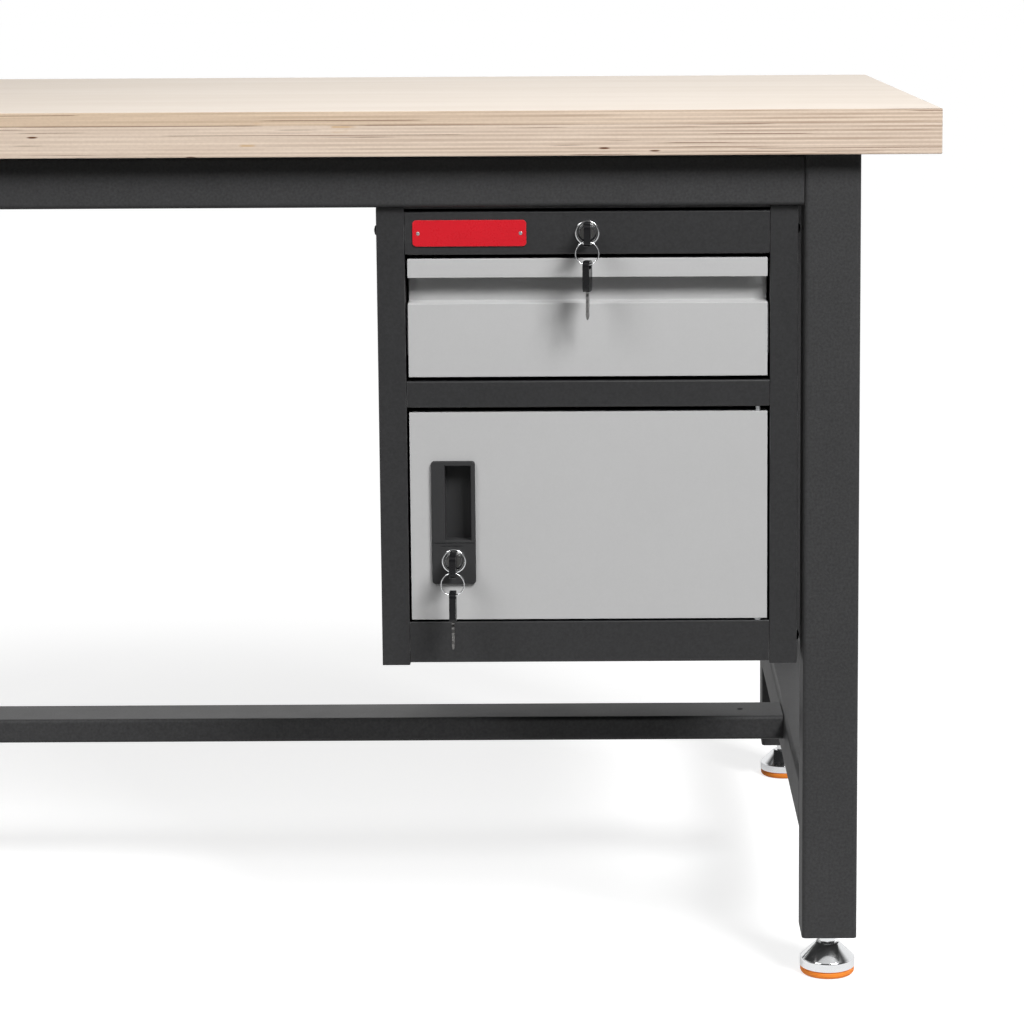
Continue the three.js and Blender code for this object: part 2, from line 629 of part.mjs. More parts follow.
/** Turning plug with its keyway. */
function lockPlug(length) {
  const half = [KEY_BLADE_THICKNESS / 2 + HOLE_GAP, KEY_BLADE_WIDTH / 2 + HOLE_GAP];
  const keyway = box([-half[0], 2 * plugFront, -half[1]],
    [half[0], keyHeadBack + KEY_BLADE_LENGTH + HOLE_GAP, half[1]]);
  return cut(rodY(PLUG_RADIUS, plugFront, length, 0, 0, ROUND_SIDES), [keyway]);
}

/** Cam on the plug's tail with the screw that holds it; it points along x when turned by 0. */
function lockCam(front, turn) {
  const half = CAM_WIDTH / 2;
  const shape = new THREE.Shape();
  shape.absarc(0, 0, half, Math.PI / 2, 1.5 * Math.PI);
  shape.lineTo(CAM_LENGTH, -half);
  shape.lineTo(CAM_LENGTH, half);
  const back = front + CAM_THICKNESS;
  return fuse([
    prismY(shape, front, back).rotateY(turn),
    rodY(CAM_SCREW_RADIUS, back - CAM_THICKNESS / 2, back + CAM_SCREW_HEIGHT),
  ]);
}

/** Flat key in the YZ plane, its blade along +y, with an oval hole in its head. */
function key() {
  const middle = (keyHeadFront + keyHeadBack) / 2;
  const head = roundedRectangle(KEY_HEAD_LENGTH, KEY_HEAD_WIDTH, KEY_HEAD_CORNER, middle, 0);
  head.holes.push(roundedRectangle(2 * KEY_HOLE_HALF_LENGTH, 2 * KEY_HOLE_HALF_WIDTH,
    KEY_HOLE_CORNER, keyHoleY, 0));
  const halfBlade = [KEY_BLADE_THICKNESS / 2, KEY_BLADE_WIDTH / 2];
  return fuse([
    prismX(head, -KEY_HEAD_THICKNESS / 2, KEY_HEAD_THICKNESS / 2),
    box([-halfBlade[0], middle, -halfBlade[1]],
      [halfBlade[0], keyHeadBack + KEY_BLADE_LENGTH, halfBlade[1]]),
  ]);
}

function keyRing() {
  return new THREE.TorusGeometry(RING_RADIUS, RING_WIRE_RADIUS, WIRE_SIDES, RING_STEPS)
    .rotateX(Math.PI / 2).translate(0, keyHoleY, ringZ);
}

/** The same key hung on the ring with its blade down. */
function spareKey() {
  return key().translate(0, -keyHoleY, 0).rotateX(-Math.PI / 2).translate(0, keyHoleY, spareHoleZ);
}

/** Plug, cam and key of one lock. */
function addLockSet(group, prefix, camFront, camTurn) {
  add(group, `${prefix}_lock_plug`, lockPlug(camFront - SEAT_GAP), chrome);
  add(group, `${prefix}_lock_cam`, lockCam(camFront, camTurn), zinc);
  add(group, `${prefix}_key`, key(), blackPlastic);
}

// Door, in the cabinet's frame

const handleLeft = frontLeft + HANDLE_FROM_EDGE;
const handleTop = doorTop - HANDLE_FROM_TOP;
const handleMiddleX = handleLeft + HANDLE_WIDTH / 2;
const handleMiddleZ = handleTop - HANDLE_HEIGHT / 2;
const handleLockZ = handleTop - HANDLE_HEIGHT + HANDLE_LOCK_LIFT;
const doorFace = -FRONT_PROUD;

function doorPanel() {
  const back = doorFace + FOLD_DEPTH;
  const pan = box([frontLeft, doorFace, doorBottom], [frontRight, back, doorTop]);
  const hollow = box([frontLeft + SHEET, doorFace + SHEET, doorBottom + SHEET],
    [frontRight - SHEET, 2 * back, doorTop - SHEET]);
  const slack = 2 * (HANDLE_BODY_INSET - HOLE_GAP);
  const window = prismY(roundedRectangle(HANDLE_WIDTH - slack, HANDLE_HEIGHT - slack, HANDLE_CORNER,
    handleMiddleX, handleMiddleZ), doorFace - SHEET, doorFace + 2 * SHEET);
  const pivotHoles = [doorBottom, doorTop].map((z) =>
    rodZ(pivotHoleRadius, z - 2 * SHEET, z + 2 * SHEET, pivotX, pivotY));
  return cut(pan, [hollow, window, ...pivotHoles]);
}

/** Plate with a finger pocket behind it and a seat for the lock. */
function doorHandle() {
  const face = doorFace - SEAT_GAP;
  const inset = 2 * HANDLE_BODY_INSET;
  const plate = prismY(roundedRectangle(HANDLE_WIDTH, HANDLE_HEIGHT, HANDLE_CORNER,
    handleMiddleX, handleMiddleZ), face - HANDLE_PLATE, face);
  const body = prismY(roundedRectangle(HANDLE_WIDTH - inset, HANDLE_HEIGHT - inset, HANDLE_CORNER,
    handleMiddleX, handleMiddleZ), face - HANDLE_PLATE / 2, face + HANDLE_BODY_DEPTH);
  const pocketLeft = handleLeft + POCKET_FROM_SIDE;
  const pocketTop = handleTop - POCKET_FROM_TOP;
  const pocket = box([pocketLeft, face - 2 * HANDLE_PLATE, pocketTop - POCKET_HEIGHT],
    [pocketLeft + POCKET_WIDTH, face - HANDLE_PLATE + POCKET_DEPTH, pocketTop]);
  const lockHole = rodY(BARREL_RADIUS + HOLE_GAP, face - 2 * HANDLE_PLATE, face + 2 * HANDLE_BODY_DEPTH,
    handleMiddleX, handleLockZ, ROUND_SIDES);
  return cut(fuse([plate, body]), [pocket, lockHole]);
}

/** Upper pivot pin, held in the middle rail. */
function upperPivotPin() {
  return rodZ(PIVOT_RADIUS, doorTop - PIVOT_REACH, midRailBottom + PIVOT_REACH, pivotX, pivotY);
}

/** Lower pivot pin, held in the bottom rail, with a collar that carries the door. */
function lowerPivotPin() {
  return fuse([
    rodZ(PIVOT_RADIUS, bottomRailTop - PIVOT_REACH, doorBottom + PIVOT_REACH, pivotX, pivotY),
    rodZ(PIVOT_COLLAR_RADIUS, bottomRailTop + SEAT_GAP, doorBottom - RUNNING_GAP, pivotX, pivotY),
  ]);
}

/** Magnetic catch on the back of the middle rail. */
function doorMagnet() {
  const x = POST_WIDTH + MAGNET_FROM_POST;
  const y = FOLD_DEPTH + SEAT_GAP;
  return box([x, y, doorTop - MAGNET_OVERLAP], [x + MAGNET_WIDTH, y + MAGNET_DEPTH, midRailTop - SHEET]);
}

// Assembly

const bench = new THREE.Group();

const frame = new THREE.Group();
bench.add(frame);
add(frame, 'worktop', worktop(), plywood);
for (const [name, sideX, sideY] of [
  ['front_left', -1, -1], ['front_right', 1, -1], ['rear_left', -1, 1], ['rear_right', 1, 1],
]) {
  add(frame, `leg_${name}`, leg(sideX, sideY), darkCoat);
  const footGroup = new THREE.Group();
  footGroup.position.set(sideX * (legInnerX + LEG_SIZE / 2), sideY * (legInnerY + LEG_SIZE / 2), 0);
  add(footGroup, `foot_pad_${name}`, footPad(), orangeRubber);
  add(footGroup, `foot_${name}`, foot(), chrome);
  frame.add(footGroup);
}
for (const [name, sideX] of [['left', -1], ['right', 1]]) {
  add(frame, `upper_side_rail_${name}`, upperSideRail(sideX), darkCoat);
  add(frame, `lower_side_rail_${name}`, sideRail(sideX, LOWER_RAIL_TOP), darkCoat);
}
add(frame, 'front_apron', apron(-1), darkCoat);
add(frame, 'rear_apron', apron(1), darkCoat);
add(frame, 'stretcher', stretcher(), darkCoat);
add(frame, 'cross_member_left', crossMember(crossMemberXs[0]), darkCoat);
add(frame, 'cross_member_right', crossMember(crossMemberXs[1]), darkCoat);

const cabinet = new THREE.Group();
cabinet.position.set(cabinetLeftX, cabinetFrontY, cabinetBottomZ);
bench.add(cabinet);
for (const [name, isRight] of [['left', false], ['right', true]]) {
  add(cabinet, `cabinet_side_${name}`, cabinetSide(isRight), darkCoat);
  add(cabinet, `slide_outer_${name}`, slideOuter(isRight), zinc);
  add(cabinet, `slide_middle_${name}`, slideMiddle(isRight), zinc);
  add(cabinet, `slide_inner_${name}`, slideInner(isRight), zinc);
  for (const [place, y] of [['front', topBoltYs[0]], ['rear', topBoltYs[1]]]) {
    add(cabinet, `cabinet_bolt_${place}_${name}`, cabinetBolt(crossMemberXs[Number(isRight)], y), zinc);
  }
}
add(cabinet, 'cabinet_top', cabinetTop(), darkCoat);
add(cabinet, 'cabinet_bottom', cabinetSheet(0), darkCoat);
add(cabinet, 'cabinet_back', cabinetBack(), darkCoat);
add(cabinet, 'cabinet_top_rail', topRail(), darkCoat);
add(cabinet, 'cabinet_mid_rail', midRail(), darkCoat);
add(cabinet, 'cabinet_bottom_rail', bottomRail(), darkCoat);
add(cabinet, 'drawer_front', drawerFront(), greyCoat);
add(cabinet, 'drawer_tray', drawerTray(), greyCoat);
add(cabinet, 'drawer_lock_strike', drawerStrike(), zinc);
add(cabinet, 'door_panel', doorPanel(), greyCoat);
add(cabinet, 'door_handle', doorHandle(), blackPlastic);
add(cabinet, 'door_pivot_pin_upper', upperPivotPin(), zinc);
add(cabinet, 'door_pivot_pin_lower', lowerPivotPin(), zinc);
add(cabinet, 'door_magnet', doorMagnet(), blackPlastic);

const drawerLock = new THREE.Group();
drawerLock.position.set(drawerLockX, 0, drawerLockZ);
cabinet.add(drawerLock);
add(drawerLock, 'drawer_lock_barrel', lockBarrel(CAM_BACK - 2 * SHEET, SHEET), chrome);
addLockSet(drawerLock, 'drawer', CAM_BACK, 0);

const doorLock = new THREE.Group();
const handleFace = doorFace - SEAT_GAP - HANDLE_PLATE;
doorLock.position.set(handleMiddleX, handleFace, handleLockZ);
cabinet.add(doorLock);
const handleBack = HANDLE_PLATE + HANDLE_BODY_DEPTH;
add(doorLock, 'door_lock_barrel', lockBarrel(CAM_BACK - handleFace - 2 * SEAT_GAP, handleBack), chrome);
addLockSet(doorLock, 'door', CAM_BACK - handleFace, Math.PI / 2);
add(doorLock, 'door_key_ring', keyRing(), chrome);
add(doorLock, 'door_spare_key', spareKey(), blackPlastic);

// The keys stand out beyond the worktop, so the bench moves back to centre its outline on the origin
const extent = new THREE.Box3().setFromObject(bench);
bench.position.y = -(extent.min.y + extent.max.y) / 2;

export default bench;
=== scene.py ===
"""Looks of a workbench with a hanging cabinet: one drawer over one door, two locks and four levelling feet.

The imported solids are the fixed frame. Each class models one sub-assembly around them and gives it its finish.
Metres, +Z up, the front faces -Y.
"""

import json
import logging
import math
from collections.abc import Callable, Iterator
from contextlib import contextmanager
from dataclasses import dataclass
from enum import Enum
from functools import cache, cached_property

import bmesh
import bpy
from mathutils import Matrix, Vector

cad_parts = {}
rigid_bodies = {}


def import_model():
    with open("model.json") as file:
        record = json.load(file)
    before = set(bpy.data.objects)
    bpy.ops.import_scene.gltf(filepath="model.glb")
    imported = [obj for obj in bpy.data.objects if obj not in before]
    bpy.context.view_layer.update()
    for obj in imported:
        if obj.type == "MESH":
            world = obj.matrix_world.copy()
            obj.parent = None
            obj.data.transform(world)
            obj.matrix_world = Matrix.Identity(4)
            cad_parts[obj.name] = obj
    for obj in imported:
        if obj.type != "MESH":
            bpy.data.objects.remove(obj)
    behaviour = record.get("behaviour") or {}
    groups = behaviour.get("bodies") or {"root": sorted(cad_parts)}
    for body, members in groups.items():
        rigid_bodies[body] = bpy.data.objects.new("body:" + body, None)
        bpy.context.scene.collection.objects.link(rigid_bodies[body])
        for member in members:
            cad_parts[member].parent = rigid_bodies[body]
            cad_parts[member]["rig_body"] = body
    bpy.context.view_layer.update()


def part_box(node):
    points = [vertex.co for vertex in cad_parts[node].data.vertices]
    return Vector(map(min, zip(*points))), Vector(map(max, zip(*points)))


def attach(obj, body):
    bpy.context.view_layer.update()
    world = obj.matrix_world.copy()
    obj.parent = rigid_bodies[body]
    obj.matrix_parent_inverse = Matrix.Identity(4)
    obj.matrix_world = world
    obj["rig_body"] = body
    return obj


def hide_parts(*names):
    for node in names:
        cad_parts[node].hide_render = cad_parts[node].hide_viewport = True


MM = 0.001
NEAR = 0.1 * MM  # places closer than this count as the same
ALONG = 0.9  # a unit vector with a greater part along an axis counts as along it
SMOOTH_ANGLE = math.radians(40)
SIDES = ("left", "right")
log = logging.getLogger("workbench")

Piece = bpy.types.Object
Tree = bpy.types.NodeTree
Socket = bpy.types.NodeSocket
Sockets = bpy.types.bpy_prop_collection
Value = Socket | float | tuple
Inputs = dict[str | int, Value]
Pair = tuple[float, float]
Triple = tuple[float, float, float]
Test = Callable[[Vector, Vector], bool]


class Axis(Enum):
    """A main direction, and the direction that a turned profile's radius is drawn along."""

    X = (Vector((1, 0, 0)), Vector((0, 0, 1)))
    Y = (Vector((0, 1, 0)), Vector((1, 0, 0)))
    Z = (Vector((0, 0, 1)), Vector((1, 0, 0)))

    @property
    def along(self) -> Vector:
        """Unit vector along the axis."""
        return self.value[0]

    @property
    def across(self) -> Vector:
        """Unit vector square to the axis."""
        return self.value[1]


class Pick(Enum):
    """What is selected while a mesh is edited."""

    VERTICES = "VERT"
    EDGES = "EDGE"
    FACES = "FACE"


class Corner(Enum):
    """The bench's four corners, as their pieces are named."""

    FRONT_LEFT = "front_left"
    FRONT_RIGHT = "front_right"
    REAR_LEFT = "rear_left"
    REAR_RIGHT = "rear_right"


# Materials


class Graph:
    """Adds nodes to a node tree and joins them."""

    def __init__(self, tree: Tree) -> None:
        """Work on one tree."""
        self.tree = tree

    def feed(self, socket: Socket, value: Value) -> None:
        """Join a socket to another one, or give it a plain value.

        Args:
            socket: The input.
            value: What it gets.
        """
        if isinstance(value, Socket):
            self.tree.links.new(value, socket)
        elif socket.type == "RGBA" and len(value) == 3:
            socket.default_value = (*value, 1.0)
        else:
            socket.default_value = value

    def add(self, kind: str, inputs: Inputs | None = None, **settings: object) -> bpy.types.Node:
        """Add a node.

        Args:
            kind: The node's type name.
            inputs: Values or sockets for its inputs, by name or number.
            **settings: The node's own properties.

        Returns:
            The new node.
        """
        node = self.tree.nodes.new(kind)
        for name, value in settings.items():
            setattr(node, name, value)
        for name, value in (inputs or {}).items():
            self.feed(node.inputs[name], value)
        return node

    @cached_property
    def place(self) -> Socket:
        """Object coordinates, in metres."""
        return self.add("ShaderNodeTexCoord").outputs["Object"]

    def maths(self, operation: str, *values: Value) -> Socket:
        """Result of a math node on the values."""
        return self.add("ShaderNodeMath", dict(enumerate(values)), operation=operation).outputs["Value"]

    def times(self, first: Value, second: Value) -> Socket:
        """Product of two values."""
        return self.maths("MULTIPLY", first, second)

    def parts(self, vector: Socket) -> Sockets:
        """X, Y and Z of a vector."""
        return self.add("ShaderNodeSeparateXYZ", {"Vector": vector}).outputs

    def point(self, x: Value, y: Value) -> Socket:
        """Vector of two numbers."""
        return self.add("ShaderNodeCombineXYZ", {"X": x, "Y": y}).outputs["Vector"]

    def span(self, value: Value, low: float, high: float, start: float = 0.0, end: float = 1.0) -> Socket:
        """Map a value smoothly from low..high to start..end, and hold it outside."""
        inputs = {"Value": value, "From Min": low, "From Max": high, "To Min": start, "To Max": end}
        return self.add("ShaderNodeMapRange", inputs, interpolation_type="SMOOTHSTEP").outputs["Result"]

    def blend(self, factor: Value, first: Value, second: Value, mode: str = "MIX") -> Socket:
        """Mix two colours; the factor is the second one's share."""
        inputs = {0: factor, 6: first, 7: second}
        return self.add("ShaderNodeMix", inputs, data_type="RGBA", blend_type=mode).outputs[2]

    def noise(self, vector: Value, scale: Value, detail: float) -> Socket:
        """Cloudy value from 0 to 1 around 0.5."""
        inputs = {"Vector": vector, "Scale": scale, "Detail": detail}
        return self.add("ShaderNodeTexNoise", inputs).outputs["Fac"]

    def streaks(self, vector: Socket, scale: Triple, detail: float) -> Socket:
        """Cloudy value of a vector that is scaled along each axis."""
        return self.noise(self.stretched(vector, scale), 1.0, detail)

    def stretched(self, vector: Socket, scale: Triple) -> Socket:
        """A vector scaled along each axis."""
        return self.add("ShaderNodeMapping", {"Vector": vector, "Scale": scale}).outputs["Vector"]

    def bump(self, height: Value, strength: float, distance: float) -> Socket:
        """Normal that follows a height."""
        inputs = {"Height": height, "Strength": strength, "Distance": distance}
        return self.add("ShaderNodeBump", inputs).outputs["Normal"]

    def effect(self, tree: Tree, **inputs: Value) -> Socket:
        """Result of a shared effect at the object's places, with its own values here."""
        values = {name.capitalize(): value for name, value in inputs.items()}
        return self.add("ShaderNodeGroup", {"Place": self.place, **values}, node_tree=tree).outputs[0]

    def uneven(self, scale: float, amount: float) -> Socket:
        """Shade around 1, from the shared clouds."""
        return self.effect(cloudiness(), scale=scale, amount=amount)


def blank_graph(owner: bpy.types.Material | bpy.types.World) -> Graph:
    """Emptied node tree of a material or of the surroundings.

    Args:
        owner: What the tree belongs to.

    Returns:
        The tree's graph.
    """
    owner.use_nodes = True
    owner.node_tree.nodes.clear()
    return Graph(owner.node_tree)


def new_effect(name: str, result: str, *inputs: str) -> tuple[Graph, Sockets, Socket]:
    """Start a shared node group.

    Args:
        name: The group's name.
        result: Name of its one output.
        *inputs: Names of its number inputs; the first input is always the place.

    Returns:
        The group's graph, its inputs and the socket of its result.
    """
    tree = bpy.data.node_groups.new(name, "ShaderNodeTree")
    tree.interface.new_socket(name="Place", in_out="INPUT", socket_type="NodeSocketVector")
    for each in inputs:
        tree.interface.new_socket(name=each, in_out="INPUT", socket_type="NodeSocketFloat")
    tree.interface.new_socket(name=result, in_out="OUTPUT", socket_type="NodeSocketFloat")
    graph = Graph(tree)
    source = graph.add("NodeGroupInput")
    target = graph.add("NodeGroupOutput")
    return graph, source.outputs, target.inputs[result]


@cache
def cloudiness() -> Tree:
    """Uneven shade around 1, from broad clouds and smaller ones.

    Returns:
        The shared group.
    """
    graph, inputs, result = new_effect("cloudiness", "Shade", "Scale", "Amount")
    broad = graph.noise(inputs["Place"], inputs["Scale"], 3.0)
    small = graph.noise(inputs["Place"], graph.times(inputs["Scale"], 6.7), 4.0)
    swing = graph.maths("SUBTRACT", graph.maths("ADD", broad, small), 1.0)
    graph.feed(result, graph.maths("ADD", graph.times(swing, inputs["Amount"]), 1.0))
    return graph.tree


@cache
def surface_grain() -> Tree:
    """Height of a fine pebbled surface.

    Returns:
        The shared group.
    """
    graph, inputs, result = new_effect("surface_grain", "Height", "Scale")
    pebbles = graph.noise(inputs["Place"], inputs["Scale"], 1.0)
    waves = graph.noise(inputs["Place"], graph.times(inputs["Scale"], 0.22), 1.0)
    graph.feed(result, graph.maths("ADD", pebbles, waves))
    return graph.tree


@cache
def worn_and_lit_edges() -> Tree:
    """Mask that is strong along outer edges and broken up along them, where edges are painted lighter: partly
    wear, partly a painted highlight.

    Returns:
        The shared group.
    """
    graph, inputs, result = new_effect("worn_and_lit_edges", "Mask", "Radius", "Scale")
    bevel = graph.add("ShaderNodeBevel", {"Radius": inputs["Radius"]}, samples=4).outputs["Normal"]
    normal = graph.add("ShaderNodeNewGeometry").outputs["Normal"]
    lean = graph.add("ShaderNodeVectorMath", {0: bevel, 1: normal}, operation="DOT_PRODUCT")
    edge = graph.span(lean.outputs["Value"], 0.99, 0.8)
    breaks = graph.span(graph.noise(inputs["Place"], inputs["Scale"], 4.0), 0.42, 0.62)
    graph.feed(result, graph.times(edge, breaks))
    return graph.tree


@dataclass(frozen=True)
class Finish:
    """A surface finish: its material's name, and the record's material slot if it has one."""

    name: str
    slot: str | None

    def material(self) -> bpy.types.Material:
        """Make the finish's material the first time it is asked for.

        Returns:
            The material.
        """
        known = bpy.data.materials.get(self.name)
        if known:
            return known
        material = bpy.data.materials.new(self.name)
        graph = blank_graph(material)
        shader = graph.add("ShaderNodeBsdfPrincipled")
        graph.add("ShaderNodeOutputMaterial", {"Surface": shader.outputs["BSDF"]})
        self.shade(graph, shader.inputs)
        return material

    def shade(self, graph: Graph, sockets: Sockets) -> None:
        """Feed the shader's sockets."""
        raise NotImplementedError


@dataclass(frozen=True, kw_only=True)
class Coat(Finish):
    """A surface of one colour, uneven in tone and gloss, with a fine grain and edges painted lighter: partly
    wear, partly a painted highlight.
    """

    colour: Triple
    edge_wear_and_highlight: Triple | None = None  # colour of its lighter edges: partly wear, partly a painted highlight
    roughness: float
    gloss: float = 0.5
    metallic: float = 0.0
    clouds: Pair  # number per metre, strength
    speckle: Pair | None = None  # number per metre, strength
    wear_and_highlight_band: Pair = (0.8 * MM, 150.0)  # reach of the lighter edges from an edge, breaks per metre
    smears: Pair  # number per metre, strength
    grain: Triple  # number per metre, strength, depth

    def shade(self, graph: Graph, sockets: Sockets) -> None:
        """Feed the shader's sockets.

        Args:
            graph: Where the nodes go.
            sockets: The shader's inputs.
        """
        sockets["Specular IOR Level"].default_value = self.gloss
        sockets["Metallic"].default_value = self.metallic
        tone = graph.uneven(*self.clouds)
        if self.speckle:
            tone = graph.times(tone, graph.uneven(*self.speckle))
        body = graph.blend(1.0, self.colour, tone, "MULTIPLY")
        # Edges painted lighter: partly wear, partly a painted highlight on folds and rims.
        if self.edge_wear_and_highlight:
            radius, breaks = self.wear_and_highlight_band
            wear_and_highlight_mask = graph.effect(worn_and_lit_edges(), radius=radius, scale=breaks)
            body = graph.blend(wear_and_highlight_mask, body, self.edge_wear_and_highlight)
        graph.feed(sockets["Base Color"], body)
        graph.feed(sockets["Roughness"], graph.times(graph.uneven(*self.smears), self.roughness))
        grains, strength, depth = self.grain
        height = graph.effect(surface_grain(), scale=grains)
        graph.feed(sockets["Normal"], graph.bump(height, strength, depth))


@dataclass(frozen=True, kw_only=True)
class PowderCoat(Coat):
    """Baked powder paint: a slight orange peel, faint clouds and edges painted a little lighter, partly as wear
    and partly as a painted highlight.
    """

    wear_and_highlight_band: Pair = (1.2 * MM, 60.0)
    smears: Pair = (5.0, 0.14)
    grain: Triple = (900.0, 0.16, 0.12 * MM)


@dataclass(frozen=True, kw_only=True)
class PlatedMetal(Coat):
    """Plated or polished metal with faint smears."""

    metallic: float = 1.0
    clouds: Pair = (120.0, 0.08)
    smears: Pair = (45.0, 0.3)
    grain: Triple = (300.0, 0.03, 0.1 * MM)


@dataclass(frozen=True, kw_only=True)
class Moulding(Coat):
    """Moulded plastic or rubber with a fine eroded grain."""

    clouds: Pair = (60.0, 0.1)
    smears: Pair = (90.0, 0.2)
    grain: Triple = (1400.0, 0.2, 0.1 * MM)


@dataclass(frozen=True)
class Plywood(Finish):
    """Birch plywood: pale veneer above and below, plies with glue lines, stains and knots at the edges."""

    bottom: float
    thickness: float
    plies: int = 23
    wobble: float = 2.4  # how far a ply strays, in plies
    gloss: float = 0.07
    roughness: float = 0.58
    veneer: Triple = (0.715, 0.64, 0.565)
    veneer_grain: Triple = (0.9, 0.873, 0.837)  # tint of its darker grain
    long_ply: Triple = (0.775, 0.645, 0.53)
    end_ply: Triple = (0.4, 0.285, 0.21)
    upper_tint: Triple = (0.95, 0.9, 0.815)
    upper_from: float = 0.69  # where the tinted plies begin, as a share of the thickness
    striped: Pair = (0.0, 0.7)  # stripes grow stronger between these places along the board
    glue: Triple = (0.12, 0.045, 0.02)
    ochre: Triple = (0.6, 0.4, 0.21)  # resin stains

    def shade(self, graph: Graph, sockets: Sockets) -> None:
        """Feed the shader's sockets.

        Args:
            graph: Where the nodes go.
            sockets: The shader's inputs.
        """
        sockets["Specular IOR Level"].default_value = self.gloss
        normal = graph.parts(graph.add("ShaderNodeNewGeometry").outputs["Normal"])
        flat = graph.span(graph.maths("ABSOLUTE", normal["Z"]), 0.55, 0.85)
        edge, height = self.edge(graph)
        graph.feed(sockets["Base Color"], graph.blend(flat, edge, self.face(graph)))
        graph.feed(sockets["Roughness"], graph.times(graph.uneven(20.0, 0.12), self.roughness))
        graph.feed(sockets["Normal"], graph.bump(height, 0.25, 0.3 * MM))

    def face(self, graph: Graph) -> Socket:
        """Colour of the sanded veneer, with faint grain along the board.

        Args:
            graph: Where the nodes go.

        Returns:
            The colour.
        """
        place = graph.place
        bands = graph.span(graph.streaks(place, (2.6, 18.0, 18.0), 4.0), 0.3, 0.7, 0.0, 0.5)
        fine = graph.span(graph.streaks(place, (18.0, 900.0, 180.0), 3.0), 0.3, 0.7, 0.0, 0.3)
        darker = tuple(part * tint for part, tint in zip(self.veneer, self.veneer_grain))
        return graph.blend(graph.maths("ADD", bands, fine), self.veneer, darker)

    def edge(self, graph: Graph) -> tuple[Socket, Socket]:
        """Plies at the board's edges, with glue lines, stains and knots.

        Args:
            graph: Where the nodes go.

        Returns:
            Their colour and their height.
        """
        place = graph.place
        at = graph.parts(place)
        run = graph.maths("ADD", at["X"], at["Y"])
        share = graph.maths("DIVIDE", graph.maths("SUBTRACT", at["Z"], self.bottom), self.thickness)
        stray = graph.times(graph.streaks(place, (0.75, 0.75, 90.0), 2.0), self.wobble)
        level = graph.maths("MULTIPLY_ADD", share, float(self.plies), stray)
        ply = graph.maths("FLOOR", level)
        depth = graph.maths("FRACT", level)
        strand = graph.point(run, graph.times(ply, 3.17))
        bold = graph.span(at["X"], *self.striped, 0.3, 1.0)
        faded = graph.span(bold, 0.3, 1.0, 1.0, 0.2)

        patchy = graph.span(graph.streaks(strand, (6.0, 1.0, 1.0), 3.0), 0.3, 0.7)
        crossed = graph.times(graph.maths("MODULO", ply, 2.0), bold)
        across = graph.times(crossed, graph.maths("MULTIPLY_ADD", patchy, 0.35, 0.25))
        wood = graph.blend(graph.maths("MULTIPLY_ADD", patchy, 0.22, across), self.long_ply, self.end_ply)
        fibres = graph.span(graph.streaks(place, (300.0, 300.0, 500.0), 3.0), 0.35, 0.75, 0.0, 0.12)
        wood = graph.blend(fibres, wood, self.end_ply)
        upper = graph.times(graph.maths("GREATER_THAN", share, self.upper_from), faded)
        wood = graph.blend(upper, wood, self.upper_tint, "MULTIPLY")
        stains = graph.span(graph.streaks(strand, (16.0, 0.6, 1.0), 2.0), 0.68, 0.74, 0.0, 0.7)
        wood = graph.blend(stains, wood, self.ochre)

        seam = graph.span(graph.maths("ABSOLUTE", graph.maths("SUBTRACT", depth, 0.5)), 0.33, 0.46)
        seam = graph.times(seam, bold)
        wood = graph.blend(graph.times(seam, 0.25), wood, self.end_ply)
        gate = graph.span(graph.streaks(strand, (3.4, 0.9, 1.0), 3.0), 0.58, 0.62)
        line = graph.times(graph.span(depth, 0.6, 0.8), gate)
        border = graph.maths("ABSOLUTE", graph.maths("SUBTRACT", share, self.upper_from))
        border = graph.times(graph.span(border, 0.018, 0.006, 0.0, 0.75), faded)
        dashes = graph.span(graph.streaks(place, (9.0, 9.0, 1.0), 3.0), 0.38, 0.5)
        line = graph.maths("MAXIMUM", line, graph.times(border, dashes))
        wood = graph.blend(graph.times(line, 0.8), wood, self.glue)

        spots = {"Vector": graph.point(graph.times(run, 22.0), graph.times(level, 0.21)), "Scale": 1.0}
        cells = graph.add("ShaderNodeTexVoronoi", spots).outputs
        chance = graph.add("ShaderNodeSeparateColor", {"Color": cells["Color"]}).outputs["Red"]
        rare = graph.maths("GREATER_THAN", chance, 0.82)
        knot = graph.times(graph.span(cells["Distance"], 0.14, 0.06), rare)
        dark = graph.maths("MAXIMUM", graph.maths("MAXIMUM", line, knot), graph.times(seam, 0.5))
        return graph.blend(knot, wood, self.glue), graph.maths("SUBTRACT", 1.0, dark)


# Each finish's edge colour is lighter than its body: partly wear, partly a painted highlight.
CHARCOAL = PowderCoat(
    "charcoal_powder_coat", "dark_coat", colour=(0.043, 0.043, 0.044), edge_wear_and_highlight=(0.085, 0.085, 0.086),
    roughness=0.52, gloss=0.2, clouds=(14.0, 0.16), speckle=(420.0, 0.8),
)
# The frame's charcoal paint, painted darker here as painted shade on the cabinet; its much lighter edge colour
# is a painted highlight along the folds.
SHADED_CHARCOAL = PowderCoat(
    "dark_charcoal_powder_coat", "dark_coat", colour=(0.025, 0.025, 0.026), edge_wear_and_highlight=(0.12, 0.12, 0.12),
    roughness=0.42, gloss=0.4, clouds=(14.0, 0.16), speckle=(420.0, 0.8),
)
PALE_GREY = PowderCoat(
    "pale_grey_powder_coat", "grey_coat", colour=(0.495, 0.495, 0.495), edge_wear_and_highlight=(0.62, 0.62, 0.62),
    roughness=0.45, gloss=0.35, clouds=(14.0, 0.03), speckle=(420.0, 0.05),
)
CHROME = PlatedMetal(
    "polished_chrome", "chrome", colour=(0.78, 0.79, 0.8), roughness=0.14, smears=(45.0, 0.5),
)
ZINC = PlatedMetal("bright_zinc", "zinc", colour=(0.55, 0.56, 0.57), roughness=0.38)
